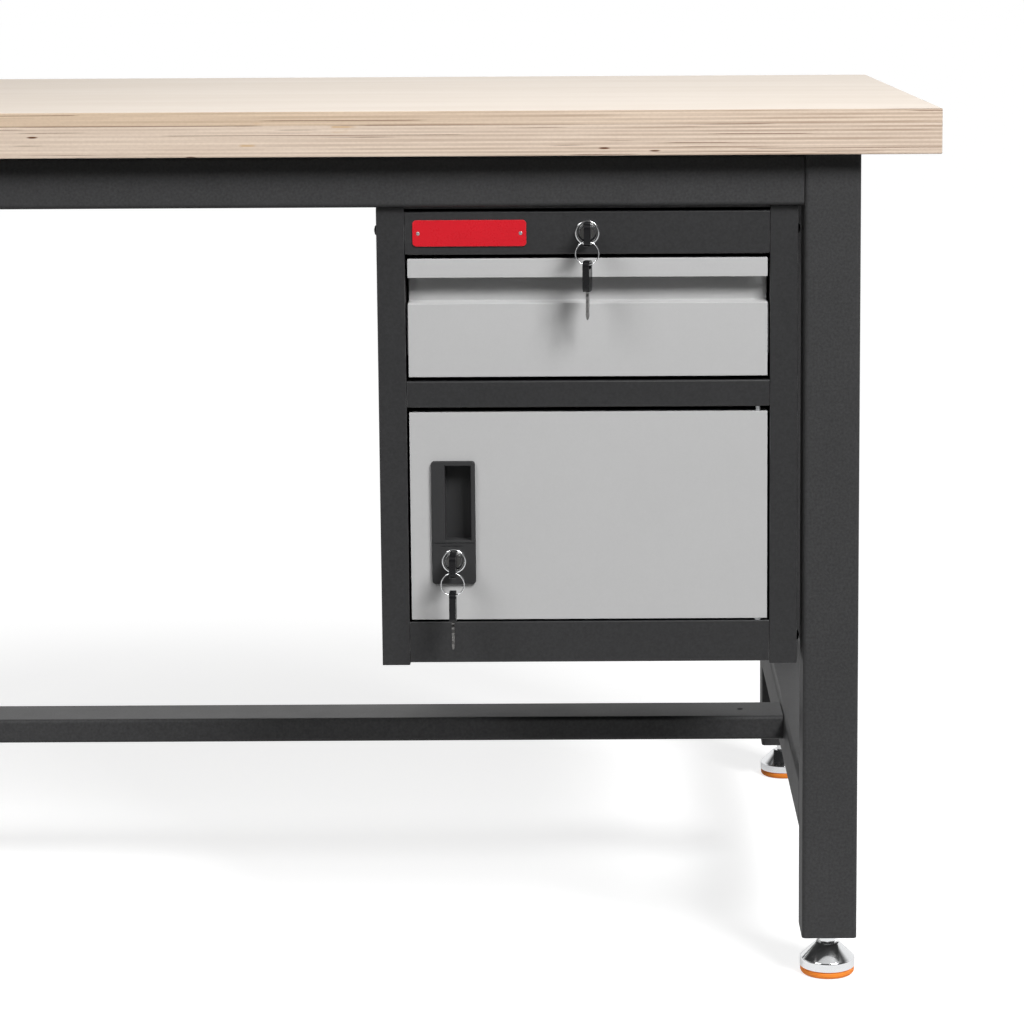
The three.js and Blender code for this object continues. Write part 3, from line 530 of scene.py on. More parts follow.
KEY_STEEL = PlatedMetal("nickelled_key_steel", None, colour=(0.18, 0.177, 0.172), roughness=0.3)
BLACK_SCREW = PlatedMetal("blackened_screw_steel", None, colour=(0.03, 0.03, 0.031), roughness=0.35)
BLACK_PLASTIC = Moulding(
    "black_moulding", "black_plastic", colour=(0.04, 0.04, 0.041), edge_wear_and_highlight=(0.07, 0.07, 0.07),
    roughness=0.42, gloss=0.15,
)
BLACK_KEY = Moulding(
    "black_key_moulding", "black_plastic", colour=(0.008, 0.008, 0.009), edge_wear_and_highlight=(0.03, 0.03, 0.03),
    roughness=0.22, gloss=0.3,
)
ORANGE_RUBBER = Moulding(
    "orange_pad_rubber", "orange_rubber", colour=(0.95, 0.27, 0.03), edge_wear_and_highlight=(0.95, 0.38, 0.1),
    roughness=0.55, gloss=0.3, grain=(900.0, 0.2, 0.1 * MM),
)
RED_ENAMEL = Moulding(
    "red_plate_enamel", None, colour=(0.62, 0.012, 0.022), edge_wear_and_highlight=(0.65, 0.1, 0.1),
    roughness=0.28, gloss=0.3, grain=(700.0, 0.2, 0.1 * MM),
)


# Modelling


def deselect_all() -> None:
    """Leave nothing selected."""
    bpy.ops.object.select_all(action="DESELECT")


def focus(piece: Piece) -> None:
    """Select one piece alone and make it active.

    Args:
        piece: The piece.
    """
    deselect_all()
    piece.select_set(True)
    bpy.context.view_layer.objects.active = piece


def facing(part: bmesh.types.BMVert | bmesh.types.BMEdge | bmesh.types.BMFace) -> tuple[Vector, Vector]:
    """Where a part of a mesh is, and how it points.

    Args:
        part: A vertex, an edge or a face.

    Returns:
        Its middle, and its normal or the edge's direction.
    """
    if isinstance(part, bmesh.types.BMVert):
        return part.co, part.normal
    if isinstance(part, bmesh.types.BMFace):
        return part.calc_center_median(), part.normal
    first, second = (vertex.co for vertex in part.verts)
    return (first + second) / 2, (second - first).normalized()


def everything(_: Vector, __: Vector) -> bool:
    """Test that every part passes."""
    return True


def along(axis: Axis) -> Test:
    """Test that edges along an axis, or faces square to it, pass."""
    return lambda _, way: abs(way.dot(axis.along)) > ALONG


@contextmanager
def editing(piece: Piece, pick: Pick, test: Test, folded_only: bool = False) -> Iterator[None]:
    """Hold a piece in edit mode, with the parts selected that pass a test.

    Args:
        piece: The piece.
        pick: Whether vertices, edges or faces are selected.
        test: Takes a part's middle, and its normal or an edge's direction.
        folded_only: Leave out edges between faces that lie flat to each other.

    Yields:
        Nothing, while the piece is edited.
    """
    focus(piece)
    bpy.ops.object.mode_set(mode="EDIT")
    bpy.ops.mesh.select_mode(type=pick.value)
    bpy.ops.mesh.select_all(action="DESELECT")
    mesh = bmesh.from_edit_mesh(piece.data)
    for part in getattr(mesh, f"{pick.value.lower()}s"):
        folded = not folded_only or part.calc_face_angle(0.0) > SMOOTH_ANGLE
        part.select_set(folded and test(*facing(part)))
    mesh.select_flush_mode()
    bmesh.update_edit_mesh(piece.data)
    yield
    bpy.ops.object.mode_set(mode="OBJECT")


def named(piece: Piece, name: str) -> Piece:
    """Name a piece and its mesh, and return the piece."""
    piece.name = piece.data.name = name
    return piece


def added(name: str, data: bpy.types.ID) -> Piece:
    """Put a new object into the scene.

    Args:
        name: Its name.
        data: Its mesh, curve, lamp or camera.

    Returns:
        The object.
    """
    piece = bpy.data.objects.new(name, data)
    bpy.context.scene.collection.objects.link(piece)
    return piece


def apply_place(piece: Piece) -> None:
    """Move a piece's place, turn and scale into its mesh."""
    focus(piece)
    bpy.ops.object.transform_apply(location=True, rotation=True, scale=True)


def block(name: str, low: Vector, high: Vector) -> Piece:
    """Box between two corners, as a start for shaping.

    Args:
        name: The piece's name.
        low: Its lower corner.
        high: Its upper corner.

    Returns:
        The box.
    """
    deselect_all()
    bpy.ops.mesh.primitive_cube_add(size=1.0, location=(low + high) / 2)
    piece = named(bpy.context.active_object, name)
    piece.scale = high - low
    apply_place(piece)
    return piece


def rounded(points: list[Pair], radius: float, steps: int = 3) -> list[Vector]:
    """Replace the inner corners of an outline by short curves.

    Args:
        points: The outline's corners.
        radius: How far from a corner its curve starts.
        steps: Straight stretches in each curve.

    Returns:
        The outline's points with its corners rounded.
    """
    corners = [Vector(point) for point in points]
    result = [corners[0]]
    for before, corner, after in zip(corners, corners[1:], corners[2:]):
        reach = min(radius, 0.45 * (before - corner).length, 0.45 * (after - corner).length)
        start = corner + (before - corner).normalized() * reach
        end = corner + (after - corner).normalized() * reach
        for step in range(steps + 1):
            share = step / steps
            result.append(start.lerp(corner, share).lerp(corner.lerp(end, share), share))
    return [*result, corners[-1]]


def turned(name: str, profile: list, at: Vector, axis: Axis, sides: int) -> Piece:
    """Spin a profile round an axis.

    Args:
        name: The piece's name.
        profile: Points of (radius, height along the axis); both ends on the axis, or a closed loop.
        at: Where the axis starts.
        axis: The axis to turn about.
        sides: Steps in one turn.

    Returns:
        The turned piece, shaded smoothly.
    """
    points = [at + axis.across * radius + axis.along * height for radius, height in profile]
    deselect_all()
    bpy.ops.mesh.primitive_plane_add(size=MM, location=points[0])
    piece = named(bpy.context.active_object, name)
    apply_place(piece)
    with editing(piece, Pick.VERTICES, everything):
        bpy.ops.mesh.merge(type="CENTER")
        for here, there in zip(points, points[1:]):
            bpy.ops.mesh.extrude_vertices_move(TRANSFORM_OT_translate={"value": there - here})
        bpy.ops.mesh.select_all(action="SELECT")
        bpy.ops.mesh.spin(steps=sides, angle=math.tau, center=at, axis=axis.along)
        bpy.ops.mesh.select_all(action="SELECT")
        bpy.ops.mesh.remove_doubles(threshold=0.002 * MM)
        bpy.ops.mesh.normals_make_consistent(inside=False)
    return ease(piece)


def merged_copy(node: str) -> Piece:
    """Copy of a solid with its loose triangles merged into whole faces.

    Args:
        node: The solid.

    Returns:
        The copy.
    """
    name = f"{node}_eased"
    piece = named(added(name, bpy.data.objects[node].data.copy()), name)
    piece.data.materials.clear()
    with editing(piece, Pick.VERTICES, everything):
        bpy.ops.mesh.customdata_custom_splitnormals_clear()
        bpy.ops.mesh.remove_doubles(threshold=0.005 * MM)
        bpy.ops.mesh.dissolve_limited(angle_limit=math.radians(0.5))
    return piece


def bevel_edges(piece: Piece, test: Test, width: float, segments: int, folded_only: bool = False) -> None:
    """Round off the edges that pass a test."""
    with editing(piece, Pick.EDGES, test, folded_only):
        bpy.ops.mesh.bevel(offset=width, segments=segments, affect="EDGES", clamp_overlap=True)


def modify(piece: Piece, kind: str, **settings: object) -> None:
    """Put a modifier on a piece and apply it.

    Args:
        piece: The piece.
        kind: The modifier's type name.
        **settings: The modifier's own properties.
    """
    focus(piece)
    modifier = piece.modifiers.new(kind.lower(), kind)
    for name, value in settings.items():
        setattr(modifier, name, value)
    bpy.ops.object.modifier_apply(modifier=modifier.name)


def ease(piece: Piece, width: float = 0.0) -> Piece:
    """Round off a piece's sharp edges and shade it smoothly between them.

    Args:
        piece: The piece to finish.
        width: How far the rounding reaches from an edge, or 0 to leave the edges.

    Returns:
        The same piece.
    """
    if width:
        modify(piece, "BEVEL", width=width, segments=2, limit_method="ANGLE", angle_limit=SMOOTH_ANGLE)
    focus(piece)
    bpy.ops.object.shade_smooth_by_angle(angle=SMOOTH_ANGLE)
    modify(piece, "WEIGHTED_NORMAL", keep_sharp=True)
    return piece


def cut(piece: Piece, cutter: Piece) -> None:
    """Carve a cutter out of a piece and throw the cutter away."""
    modify(piece, "BOOLEAN", operation="DIFFERENCE", solver="EXACT", object=cutter)
    bpy.data.objects.remove(cutter)


def joined(first: Piece, *others: Piece) -> Piece:
    """Join pieces into the first one's mesh.

    Args:
        first: The piece that stays.
        *others: The pieces that go into it.

    Returns:
        The first piece.
    """
    focus(first)
    for other in others:
        other.select_set(True)
    bpy.ops.object.join()
    return first


def copy_of(piece: Piece, name: str, move: Vector) -> Piece:
    """Copy of a piece with its own mesh, moved.

    Args:
        piece: The piece.
        name: The copy's name.
        move: How far the copy is moved.

    Returns:
        The copy.
    """
    focus(piece)
    bpy.ops.object.duplicate()
    copy = named(bpy.context.active_object, name)
    copy.location = move
    apply_place(copy)
    return copy


def turn(piece: Piece, angle: float, axis: Axis, centre: Vector) -> None:
    """Turn a piece about an axis.

    Args:
        piece: The piece.
        angle: How far it turns, in radians.
        axis: The axis.
        centre: A point on the axis.
    """
    about = Matrix.Rotation(angle, 4, axis.along)
    piece.matrix_world = Matrix.Translation(centre) @ about @ Matrix.Translation(-centre)
    apply_place(piece)


def settle(piece: Piece, finish: Finish, body: str, *nodes: str) -> None:
    """Give a finished piece its finish and its place in the frame.

    Args:
        piece: The piece.
        finish: Its finish.
        body: The body that it moves with.
        *nodes: Solids that it stands for.
    """
    piece.data.materials.clear()
    piece.data.materials.append(finish.material())
    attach(piece, body)
    if nodes:
        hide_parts(*nodes)
    log.info("%s: %s on %s", piece.name, finish.name, body)


def body_of(node: str) -> str:
    """The body that a solid belongs to."""
    return bpy.data.objects[node]["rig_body"]


def eased_nodes(nodes: list[str], finish: Finish, width: float) -> None:
    """Stand copies of solids, with edges eased by a width, in for them."""
    for node in nodes:
        settle(ease(merged_copy(node), width), finish, body_of(node), node)


def middle(node: str) -> Vector:
    """Middle of a solid's box."""
    low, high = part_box(node)
    return (low + high) / 2


# Sub-assemblies


@dataclass
class Studio:
    """Camera, lights, floor and surroundings."""

    focal_pixels: float = 2949.42
    image_pixels: float = 1024.0
    axis_pixel: Pair = (600.29, 353.92)
    sensor: float = 36.0
    camera_right: float = 450.856 * MM
    camera_back: float = 2955.07 * MM
    camera_height: float = 927.259 * MM
    tilt: float = 7.641
    swing: float = 0.023
    roll: float = -0.305
    lamp_aim: Triple = (0.2, 0.0, 0.55)
    floor_size: float = 80.0
    floor_drop: float = 0.4 * MM
    floor_spread: Triple = (0.6, 1.0, 1.0)
    floor_near: Pair = (0.7, 1.4)
    floor_tone: Pair = (0.5, 0.05)
    floor_glow: Pair = (0.76, 1.0)
    ambient: float = 0.03
    mirrored_floor: float = 0.5
    backdrop_top: Pair = (0.5, 0.78)
    backdrop_side: Pair = (-0.3, 0.3)
    dark_room: float = 0.05
    scrim_edge: Pair = (0.74, 0.96)
    scrim: float = 0.7

    def build(self) -> None:
        """Set up everything that isn't part of the bench."""
        bpy.context.scene.view_settings.view_transform = "Standard"
        self.camera()
        self.lamp("key_softbox", Vector((2.3, -2.75, 3.45)), 1.6, 222.0)
        self.lamp("fill_softbox", Vector((-2.1, -2.6, 3.4)), 1.6, 75.0)
        self.lamp("rear_softbox", Vector((0.5, 3.5, 2.7)), 2.4, 40.0)
        self.floor()
        self.surroundings()

    def camera(self) -> None:
        """Stand the camera where the bench was seen from."""
        seen = bpy.data.cameras.new("camera")
        seen.sensor_width = self.sensor
        seen.lens = self.sensor * self.focal_pixels / self.image_pixels
        half = self.image_pixels / 2
        seen.shift_x = (half - self.axis_pixel[0]) / self.image_pixels
        seen.shift_y = (self.axis_pixel[1] - half) / self.image_pixels
        seen.clip_end = 2 * self.floor_size
        level = Matrix(((1, 0, 0), (0, 0, -1), (0, 1, 0)))
        for angle, axis in ((self.swing, "Y"), (self.tilt, "X"), (self.roll, "Z")):
            level = Matrix.Rotation(math.radians(angle), 3, axis) @ level
        right, down, ahead = level
        placed = Matrix((right, -down, -ahead)).transposed().to_4x4()
        placed.translation = (self.camera_right, middle("worktop").y - self.camera_back, self.camera_height)
        camera = added("camera", seen)
        camera.matrix_world = placed
        bpy.context.scene.camera = camera

    def lamp(self, name: str, at: Vector, size: float, power: float) -> None:
        """Hang a soft square lamp that faces the bench.

        Args:
            name: The lamp's name.
            at: Where it hangs.
            size: Length of its side.
            power: Its power in watts.
        """
        light = bpy.data.lights.new(name, "AREA")
        light.shape = "SQUARE"
        light.size = size
        light.energy = power
        lamp = added(name, light)
        lamp.location = at
        lamp.rotation_euler = (Vector(self.lamp_aim) - at).to_track_quat("-Z", "Y").to_euler()

    def shown(self, graph: Graph, direct: Value, mirrored: Value) -> Socket:
        """Brightness by the kind of ray.

        Args:
            graph: The tree it is made in.
            direct: Brightness to the camera and through glass.
            mirrored: Brightness in glossy surfaces.

        Returns:
            The brightness, 0 for all other rays.
        """
        path = graph.add("ShaderNodeLightPath").outputs
        seen = graph.maths("MAXIMUM", path["Is Camera Ray"], path["Is Transmission Ray"])
        glossy = graph.times(path["Is Glossy Ray"], mirrored)
        return graph.maths("MAXIMUM", graph.times(seen, direct), glossy)

    def floor(self) -> None:
        """Lay a pale floor that keeps the bench's shadow and fades to plain white around it."""
        deselect_all()
        bpy.ops.mesh.primitive_plane_add(size=self.floor_size, location=(0.0, 0.0, -self.floor_drop))
        floor = named(bpy.context.active_object, "studio_floor")
        apply_place(floor)
        material = bpy.data.materials.new("studio_floor")
        graph = blank_graph(material)
        place = graph.stretched(graph.place, self.floor_spread)
        away = graph.add("ShaderNodeVectorMath", {0: place}, operation="LENGTH").outputs["Value"]
        tone = graph.span(away, *self.floor_near, *self.floor_tone)
        white = graph.span(away, *self.floor_near, *self.floor_glow)
        paint = graph.add("ShaderNodeBsdfDiffuse", {"Color": tone})
        shown = self.shown(graph, white, self.mirrored_floor)
        glow = graph.add("ShaderNodeEmission", {"Strength": shown})
        both = graph.add("ShaderNodeAddShader", {0: paint.outputs[0], 1: glow.outputs[0]})
        graph.add("ShaderNodeOutputMaterial", {"Surface": both.outputs[0]})
        floor.data.materials.append(material)

    def surroundings(self) -> None:
        """Light the bench faintly; metal mirrors a white backdrop, a dark room and a scrim overhead."""
        world = bpy.data.worlds.new("white_surroundings")
        graph = blank_graph(world)
        way = graph.parts(graph.add("ShaderNodeTexCoord").outputs["Generated"])
        side = graph.span(way["Y"], *self.backdrop_side)
        backdrop = graph.times(side, graph.span(way["Z"], *self.backdrop_top, 1.0, 0.0))
        scrim = graph.span(way["Z"], *self.scrim_edge, self.dark_room, self.scrim)
        strength = self.shown(graph, 1.0, graph.maths("MAXIMUM", backdrop, scrim))
        strength = graph.maths("MAXIMUM", strength, self.ambient)
        sky = graph.add("ShaderNodeBackground", {"Color": (1.0, 1.0, 1.0), "Strength": strength})
        graph.add("ShaderNodeOutputWorld", {"Surface": sky.outputs[0]})
        bpy.context.scene.world = world


@dataclass
class Worktop:
    """The thick plywood board."""

    edge: float = 1.0 * MM

    def build(self) -> None:
        """Model the board and show its plies."""
        low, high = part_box("worktop")
        board = block("worktop_board", low, high)
        plywood = Plywood("birch_plywood", "plywood", bottom=low.z, thickness=high.z - low.z)
        settle(ease(board, self.edge), plywood, "bench", "worktop")


@dataclass
class TubeFrame:
    """Legs, rails, aprons, stretcher and cross members, and the screws that hold the worktop."""

    edge: float = 0.6 * MM
    tab_half: float = 13.0 * MM
    tab_thickness: float = 4.0 * MM
    tab_spread: float = 480.0 * MM
    screw_radius: float = 4.6 * MM
    screw_height: float = 3.0 * MM
    screw_rounding: float = 0.5 * MM

    def build(self) -> None:
        """Model the frame."""
        nodes = [f"leg_{corner.value}" for corner in Corner]
        nodes += [f"{level}_side_rail_{side}" for level in ("upper", "lower") for side in SIDES]
        nodes += ["front_apron", "rear_apron", "stretcher", "cross_member_left", "cross_member_right"]
        eased_nodes(nodes, CHARCOAL, self.edge)
        self.worktop_screws()

    def worktop_screws(self) -> None:
        """Put a pan-head screw under the middle of each tab."""
        front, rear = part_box("front_apron")[1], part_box("rear_apron")[0]
        left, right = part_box("upper_side_rail_left")[1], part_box("upper_side_rail_right")[0]
        under = front.z - self.tab_thickness
        rows = (front.y - self.tab_half, rear.y + self.tab_half)
        places = [Vector((x, y, under)) for y in rows for x in (-self.tab_spread, 0.0, self.tab_spread)]
        y = middle("upper_side_rail_left").y
        places += [Vector((x, y, under)) for x in (left.x - self.tab_half, right.x + self.tab_half)]
        wide, tall = self.screw_radius, self.screw_height
        profile = rounded(
            [
                (0.0, -0.4 * tall), (0.4 * wide, -0.4 * tall), (0.4 * wide, -tall), (0.7 * wide, -tall),
                (wide, -0.4 * tall), (wide, 0.0), (0.0, 0.0),
            ],
            self.screw_rounding,
        )
        first = turned("worktop_screw_1", profile, places[0], Axis.Z, sides=24)
        for number, place in enumerate(places[1:], start=2):
            settle(copy_of(first, f"worktop_screw_{number}", place - places[0]), ZINC, "bench")
        settle(first, ZINC, "bench")


@dataclass
class LevellingFeet:
    """Four chrome feet on threaded studs, each with a rubber pad."""

    rim_height: float = 8.2 * MM
    cone_top: float = 28.9 * MM
    cone_top_radius: float = 10.6 * MM
    neck_top: float = 34.9 * MM
    neck_radius: float = 7.6 * MM
    neck_sides: int = 6
    neck_edge: float = 0.5 * MM
    stud_radius: float = 6.0 * MM
    pitch: float = 1.75 * MM
    thread_depth: float = 0.8 * MM
    rounding: float = 1.0 * MM
    pad_slope: Pair = (1.5 * MM, 2.0 * MM)
    pad_groove: Pair = (0.6 * MM, 1.2 * MM)
    pad_rounding: float = 1.2 * MM

    def build(self) -> None:
        """Model one foot and copy it to the other corners."""
        first = Corner.FRONT_LEFT
        feet = {first: (self.foot(first), self.pad(first))}
        for corner in Corner:
            if corner is first:
                continue
            move = middle(f"foot_{corner.value}") - middle(f"foot_{first.value}")
            foot = copy_of(feet[first][0], f"levelling_foot_{corner.value}", move)
            feet[corner] = (foot, copy_of(feet[first][1], f"rubber_pad_{corner.value}", move))
        for corner, (foot, pad) in feet.items():
            body = f"levelling_foot_{corner.value}"
            settle(foot, CHROME, body, f"foot_{corner.value}")
            settle(pad, ORANGE_RUBBER, body, f"foot_pad_{corner.value}")

    def foot(self, corner: Corner) -> Piece:
        """Conical base, hexagon neck and threaded stud.

        Args:
            corner: The corner where they stand.

        Returns:
            The foot.
        """
        low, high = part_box(f"foot_{corner.value}")
        axis = Vector(((low.x + high.x) / 2, (low.y + high.y) / 2, 0.0))
        radius = (high.x - low.x) / 2
        rim_top = low.z + self.rim_height
        profile = rounded(
            [
                (0.0, low.z), (radius, low.z), (radius, rim_top), (self.cone_top_radius, self.cone_top),
                (0.0, self.cone_top),
            ],
            self.rounding, steps=4,
        )
        base = turned(f"levelling_foot_{corner.value}", profile, axis, Axis.Z, sides=96)
        deselect_all()
        bpy.ops.mesh.primitive_cylinder_add(
            vertices=self.neck_sides, radius=self.neck_radius, depth=self.neck_top - rim_top,
            location=axis + Vector((0, 0, (self.neck_top + rim_top) / 2)),
        )
        neck = bpy.context.active_object
        apply_place(neck)
        ease(neck, self.neck_edge)
        root = self.stud_radius - self.thread_depth
        profile = [(0.0, rim_top)]
        for step in range(int((high.z - rim_top) / self.pitch)):
            height = rim_top + step * self.pitch
            profile += [(root, height), (self.stud_radius, height + self.pitch / 2)]
        profile += [(root, high.z), (0.0, high.z)]
        return joined(base, neck, turned("stud", profile, axis, Axis.Z, sides=32))

    def pad(self, corner: Corner) -> Piece:
        """Rubber pad with a shallow groove round it.

        Args:
            corner: The corner where it stands.

        Returns:
            The pad.
        """
        low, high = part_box(f"foot_pad_{corner.value}")
        axis = Vector(((low.x + high.x) / 2, (low.y + high.y) / 2, 0.0))
        radius = (high.x - low.x) / 2
        groove = radius - self.pad_groove[0]
        below = high.z - self.pad_groove[1]
        profile = rounded(
            [
                (0.0, low.z), (radius - self.pad_slope[0], low.z), (radius, low.z + self.pad_slope[1]),
                (radius, below), (groove, below), (groove, high.z), (0.0, high.z),
            ],
            self.pad_rounding, steps=4,
        )
        return turned(f"rubber_pad_{corner.value}", profile, axis, Axis.Z, sides=96)


@dataclass
class CabinetCarcass:
    """Folded sides, rails and sheets, their bolts and the blank plate on the top rail."""

    fold: float = 0.7 * MM
    rail_fold: float = 1.8 * MM
    rail_edge: float = 0.4 * MM
    floor_setback: float = 14.0 * MM
    floor_edge: float = 0.3 * MM
    plate_from_left: float = 7.0 * MM
    plate_width: float = 101.0 * MM
    plate_height: float = 23.4 * MM
    plate_thickness: float = 1.2 * MM
    plate_corner: float = 3.5 * MM
    plate_edge: float = 0.4 * MM
    rivet_from_end: float = 5.0 * MM
    rivet_radius: float = 1.6 * MM
    rivet_height: float = 0.7 * MM
    bolt_from_front: float = 15.0 * MM
    bolt_from_top: float = 21.5 * MM
    bolt_from_bottom: float = 23.0 * MM
    bolt_radius: float = 4.8 * MM
    bolt_height: float = 2.8 * MM
    bolt_edge: float = 0.4 * MM

    def build(self) -> None:
        """Model the carcass."""
        nodes = ["cabinet_side_left", "cabinet_side_right", "cabinet_top", "cabinet_back"]
        eased_nodes(nodes, SHADED_CHARCOAL, self.fold)
        for level in ("top", "mid", "bottom"):
            self.rail(f"cabinet_{level}_rail")
        self.floor_sheet()
        bolts = [f"cabinet_bolt_{end}_{side}" for end in ("front", "rear") for side in SIDES]
        eased_nodes(bolts, ZINC, self.bolt_edge)
        self.side_bolts()
        self.plate()

    def rail(self, node: str) -> None:
        """Front rail whose long front edges are rounded folds.

        Args:
            node: The rail's node.
        """
        low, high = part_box(node)

        def on_fold(at: Vector, way: Vector) -> bool:
            """Whether an edge is a long front edge."""
            outer = min(at.z - low.z, high.z - at.z) < NEAR
            return abs(way.x) > ALONG and at.y < low.y + NEAR and outer

        rail = merged_copy(node)
        bevel_edges(rail, on_fold, self.rail_fold, segments=4, folded_only=True)
        settle(ease(rail, self.rail_edge), SHADED_CHARCOAL, "bench", node)

    def floor_sheet(self) -> None:
        """Floor of the cabinet, its front edge set back behind the bottom rail."""
        node = "cabinet_bottom"
        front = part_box(node)[0].y + NEAR
        sheet = merged_copy(node)
        with editing(sheet, Pick.VERTICES, lambda at, _: at.y < front):
            bpy.ops.transform.translate(value=(0, self.floor_setback, 0))
        settle(ease(sheet, self.floor_edge), SHADED_CHARCOAL, "bench", node)

    def side_bolts(self) -> None:
        """Put domed bolt heads on the outside of the cabinet's sides, near its front."""
        low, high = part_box("cabinet_side_left")
        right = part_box("cabinet_side_right")[1].x
        front = low.y + self.bolt_from_front
        upper = high.z - self.bolt_from_top
        lower = low.z + self.bolt_from_bottom
        self.dome("side_bolt_upper_left", Vector((low.x, front, upper)), -1)
        self.dome("side_bolt_upper_right", Vector((right, front, upper)), 1)
        self.dome("side_bolt_lower_right", Vector((right, front, lower)), 1)

    def dome(self, name: str, at: Vector, outward: int) -> None:
        """Black domed nut with the bright end of its bolt.

        Args:
            name: The nut's name.
            at: Where it sits on the cabinet's side.
            outward: 1 where it faces +X, -1 where it faces -X.
        """
        wide, tall = self.bolt_radius, outward * self.bolt_height
        hole, bed = 0.45 * wide, 0.4 * tall
        nut = rounded(
            [
                (0.0, 0.0), (wide, 0.0), (wide, 0.25 * tall), (0.8 * wide, 0.75 * tall),
                (hole, 0.85 * tall), (hole, bed), (0.0, bed),
            ],
            0.8 * MM,
        )
        settle(turned(f"{name}_nut", nut, at, Axis.X, sides=24), BLACK_SCREW, "bench")
        end = rounded([(0.0, bed), (hole, bed), (hole, 0.9 * tall), (0.0, 1.05 * tall)], 0.5 * MM)
        settle(turned(f"{name}_end", end, at, Axis.X, sides=24), ZINC, "bench")

    def plate(self) -> None:
        """Blank red plate, held on by two rivets."""
        low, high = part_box("cabinet_top_rail")
        centre = (low.z + high.z) / 2
        half = self.plate_height / 2
        start = Vector((low.x + self.plate_from_left, low.y - self.plate_thickness, centre - half))
        end = Vector((start.x + self.plate_width, low.y, centre + half))
        plate = block("blank_plate", start, end)
        bevel_edges(plate, along(Axis.Y), self.plate_corner, segments=6)
        settle(ease(plate, self.plate_edge), RED_ENAMEL, "bench")
        wide, tall = self.rivet_radius, self.rivet_height
        profile = rounded([(0.0, 0.0), (wide, 0.0), (wide, -0.5 * tall), (0.0, -tall)], 0.4 * MM)
        for side, x in zip(SIDES, (start.x + self.rivet_from_end, end.x - self.rivet_from_end)):
            at = Vector((x, start.y, centre))
            settle(turned(f"plate_rivet_{side}", profile, at, Axis.Y, sides=24), ZINC, "bench")


@dataclass
class Drawer:
    """Folded front, tray, lock strike and telescopic slides."""

    fold: float = 0.7 * MM
    tray_edge: float = 0.5 * MM
    slide_edge: float = 0.3 * MM

    def build(self) -> None:
        """Model the drawer and its slides."""
        eased_nodes(["drawer_front"], PALE_GREY, self.fold)
        eased_nodes(["drawer_tray"], PALE_GREY, self.tray_edge)
        slides = [f"slide_{member}_{side}" for member in ("outer", "middle", "inner") for side in SIDES]
        eased_nodes([*slides, "drawer_lock_strike"], ZINC, self.slide_edge)


@dataclass
class Door:
    """Folded panel, recessed handle, pivot pins and magnetic catch."""

    fold: float = 0.7 * MM
    pin_edge: float = 0.3 * MM
    magnet_edge: float = 0.6 * MM
    handle_edge: float = 0.25 * MM
    rim: float = 1.6 * MM
    lock_space: float = 12.0 * MM
    seam_lift: float = 37.2 * MM
    slot_lift: float = 34.4 * MM
    slot_from_left: float = 8.5 * MM
    slot_length: float = 19.0 * MM
    groove: float = 0.7 * MM

    def build(self) -> None:
        """Model the door."""
        eased_nodes(["door_panel"], PALE_GREY, self.fold)
        eased_nodes(["door_pivot_pin_upper", "door_pivot_pin_lower"], ZINC, self.pin_edge)
        eased_nodes(["door_magnet"], BLACK_PLASTIC, self.magnet_edge)
        self.handle()

    def handle(self) -> None:
        """Handle plate with a softly rimmed pocket, a seam below it and a short slot."""
        low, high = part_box("door_handle")
        lock = middle("door_lock_plug")

        def on_rim(at: Vector, way: Vector) -> bool:
            """Whether an edge lies in the plate's front, away from the lock."""
            front = at.y < low.y + NEAR and abs(way.y) < 1 - ALONG
            return front and math.hypot(at.x - lock.x, at.z - lock.z) > self.lock_space

        handle = merged_copy("door_handle")
        bevel_edges(handle, on_rim, self.rim, segments=3, folded_only=True)
        across = high.x - low.x + 2 * self.groove
        for name, left, lift, length in (
            ("seam_cutter", -self.groove, self.seam_lift, across),
            ("slot_cutter", self.slot_from_left, self.slot_lift, self.slot_length),
        ):
            start = low + Vector((left, -self.groove, lift))
            cut(handle, block(name, start, start + Vector((length, 2 * self.groove, self.groove))))
        settle(ease(handle, self.handle_edge), BLACK_PLASTIC, "door", "door_handle")


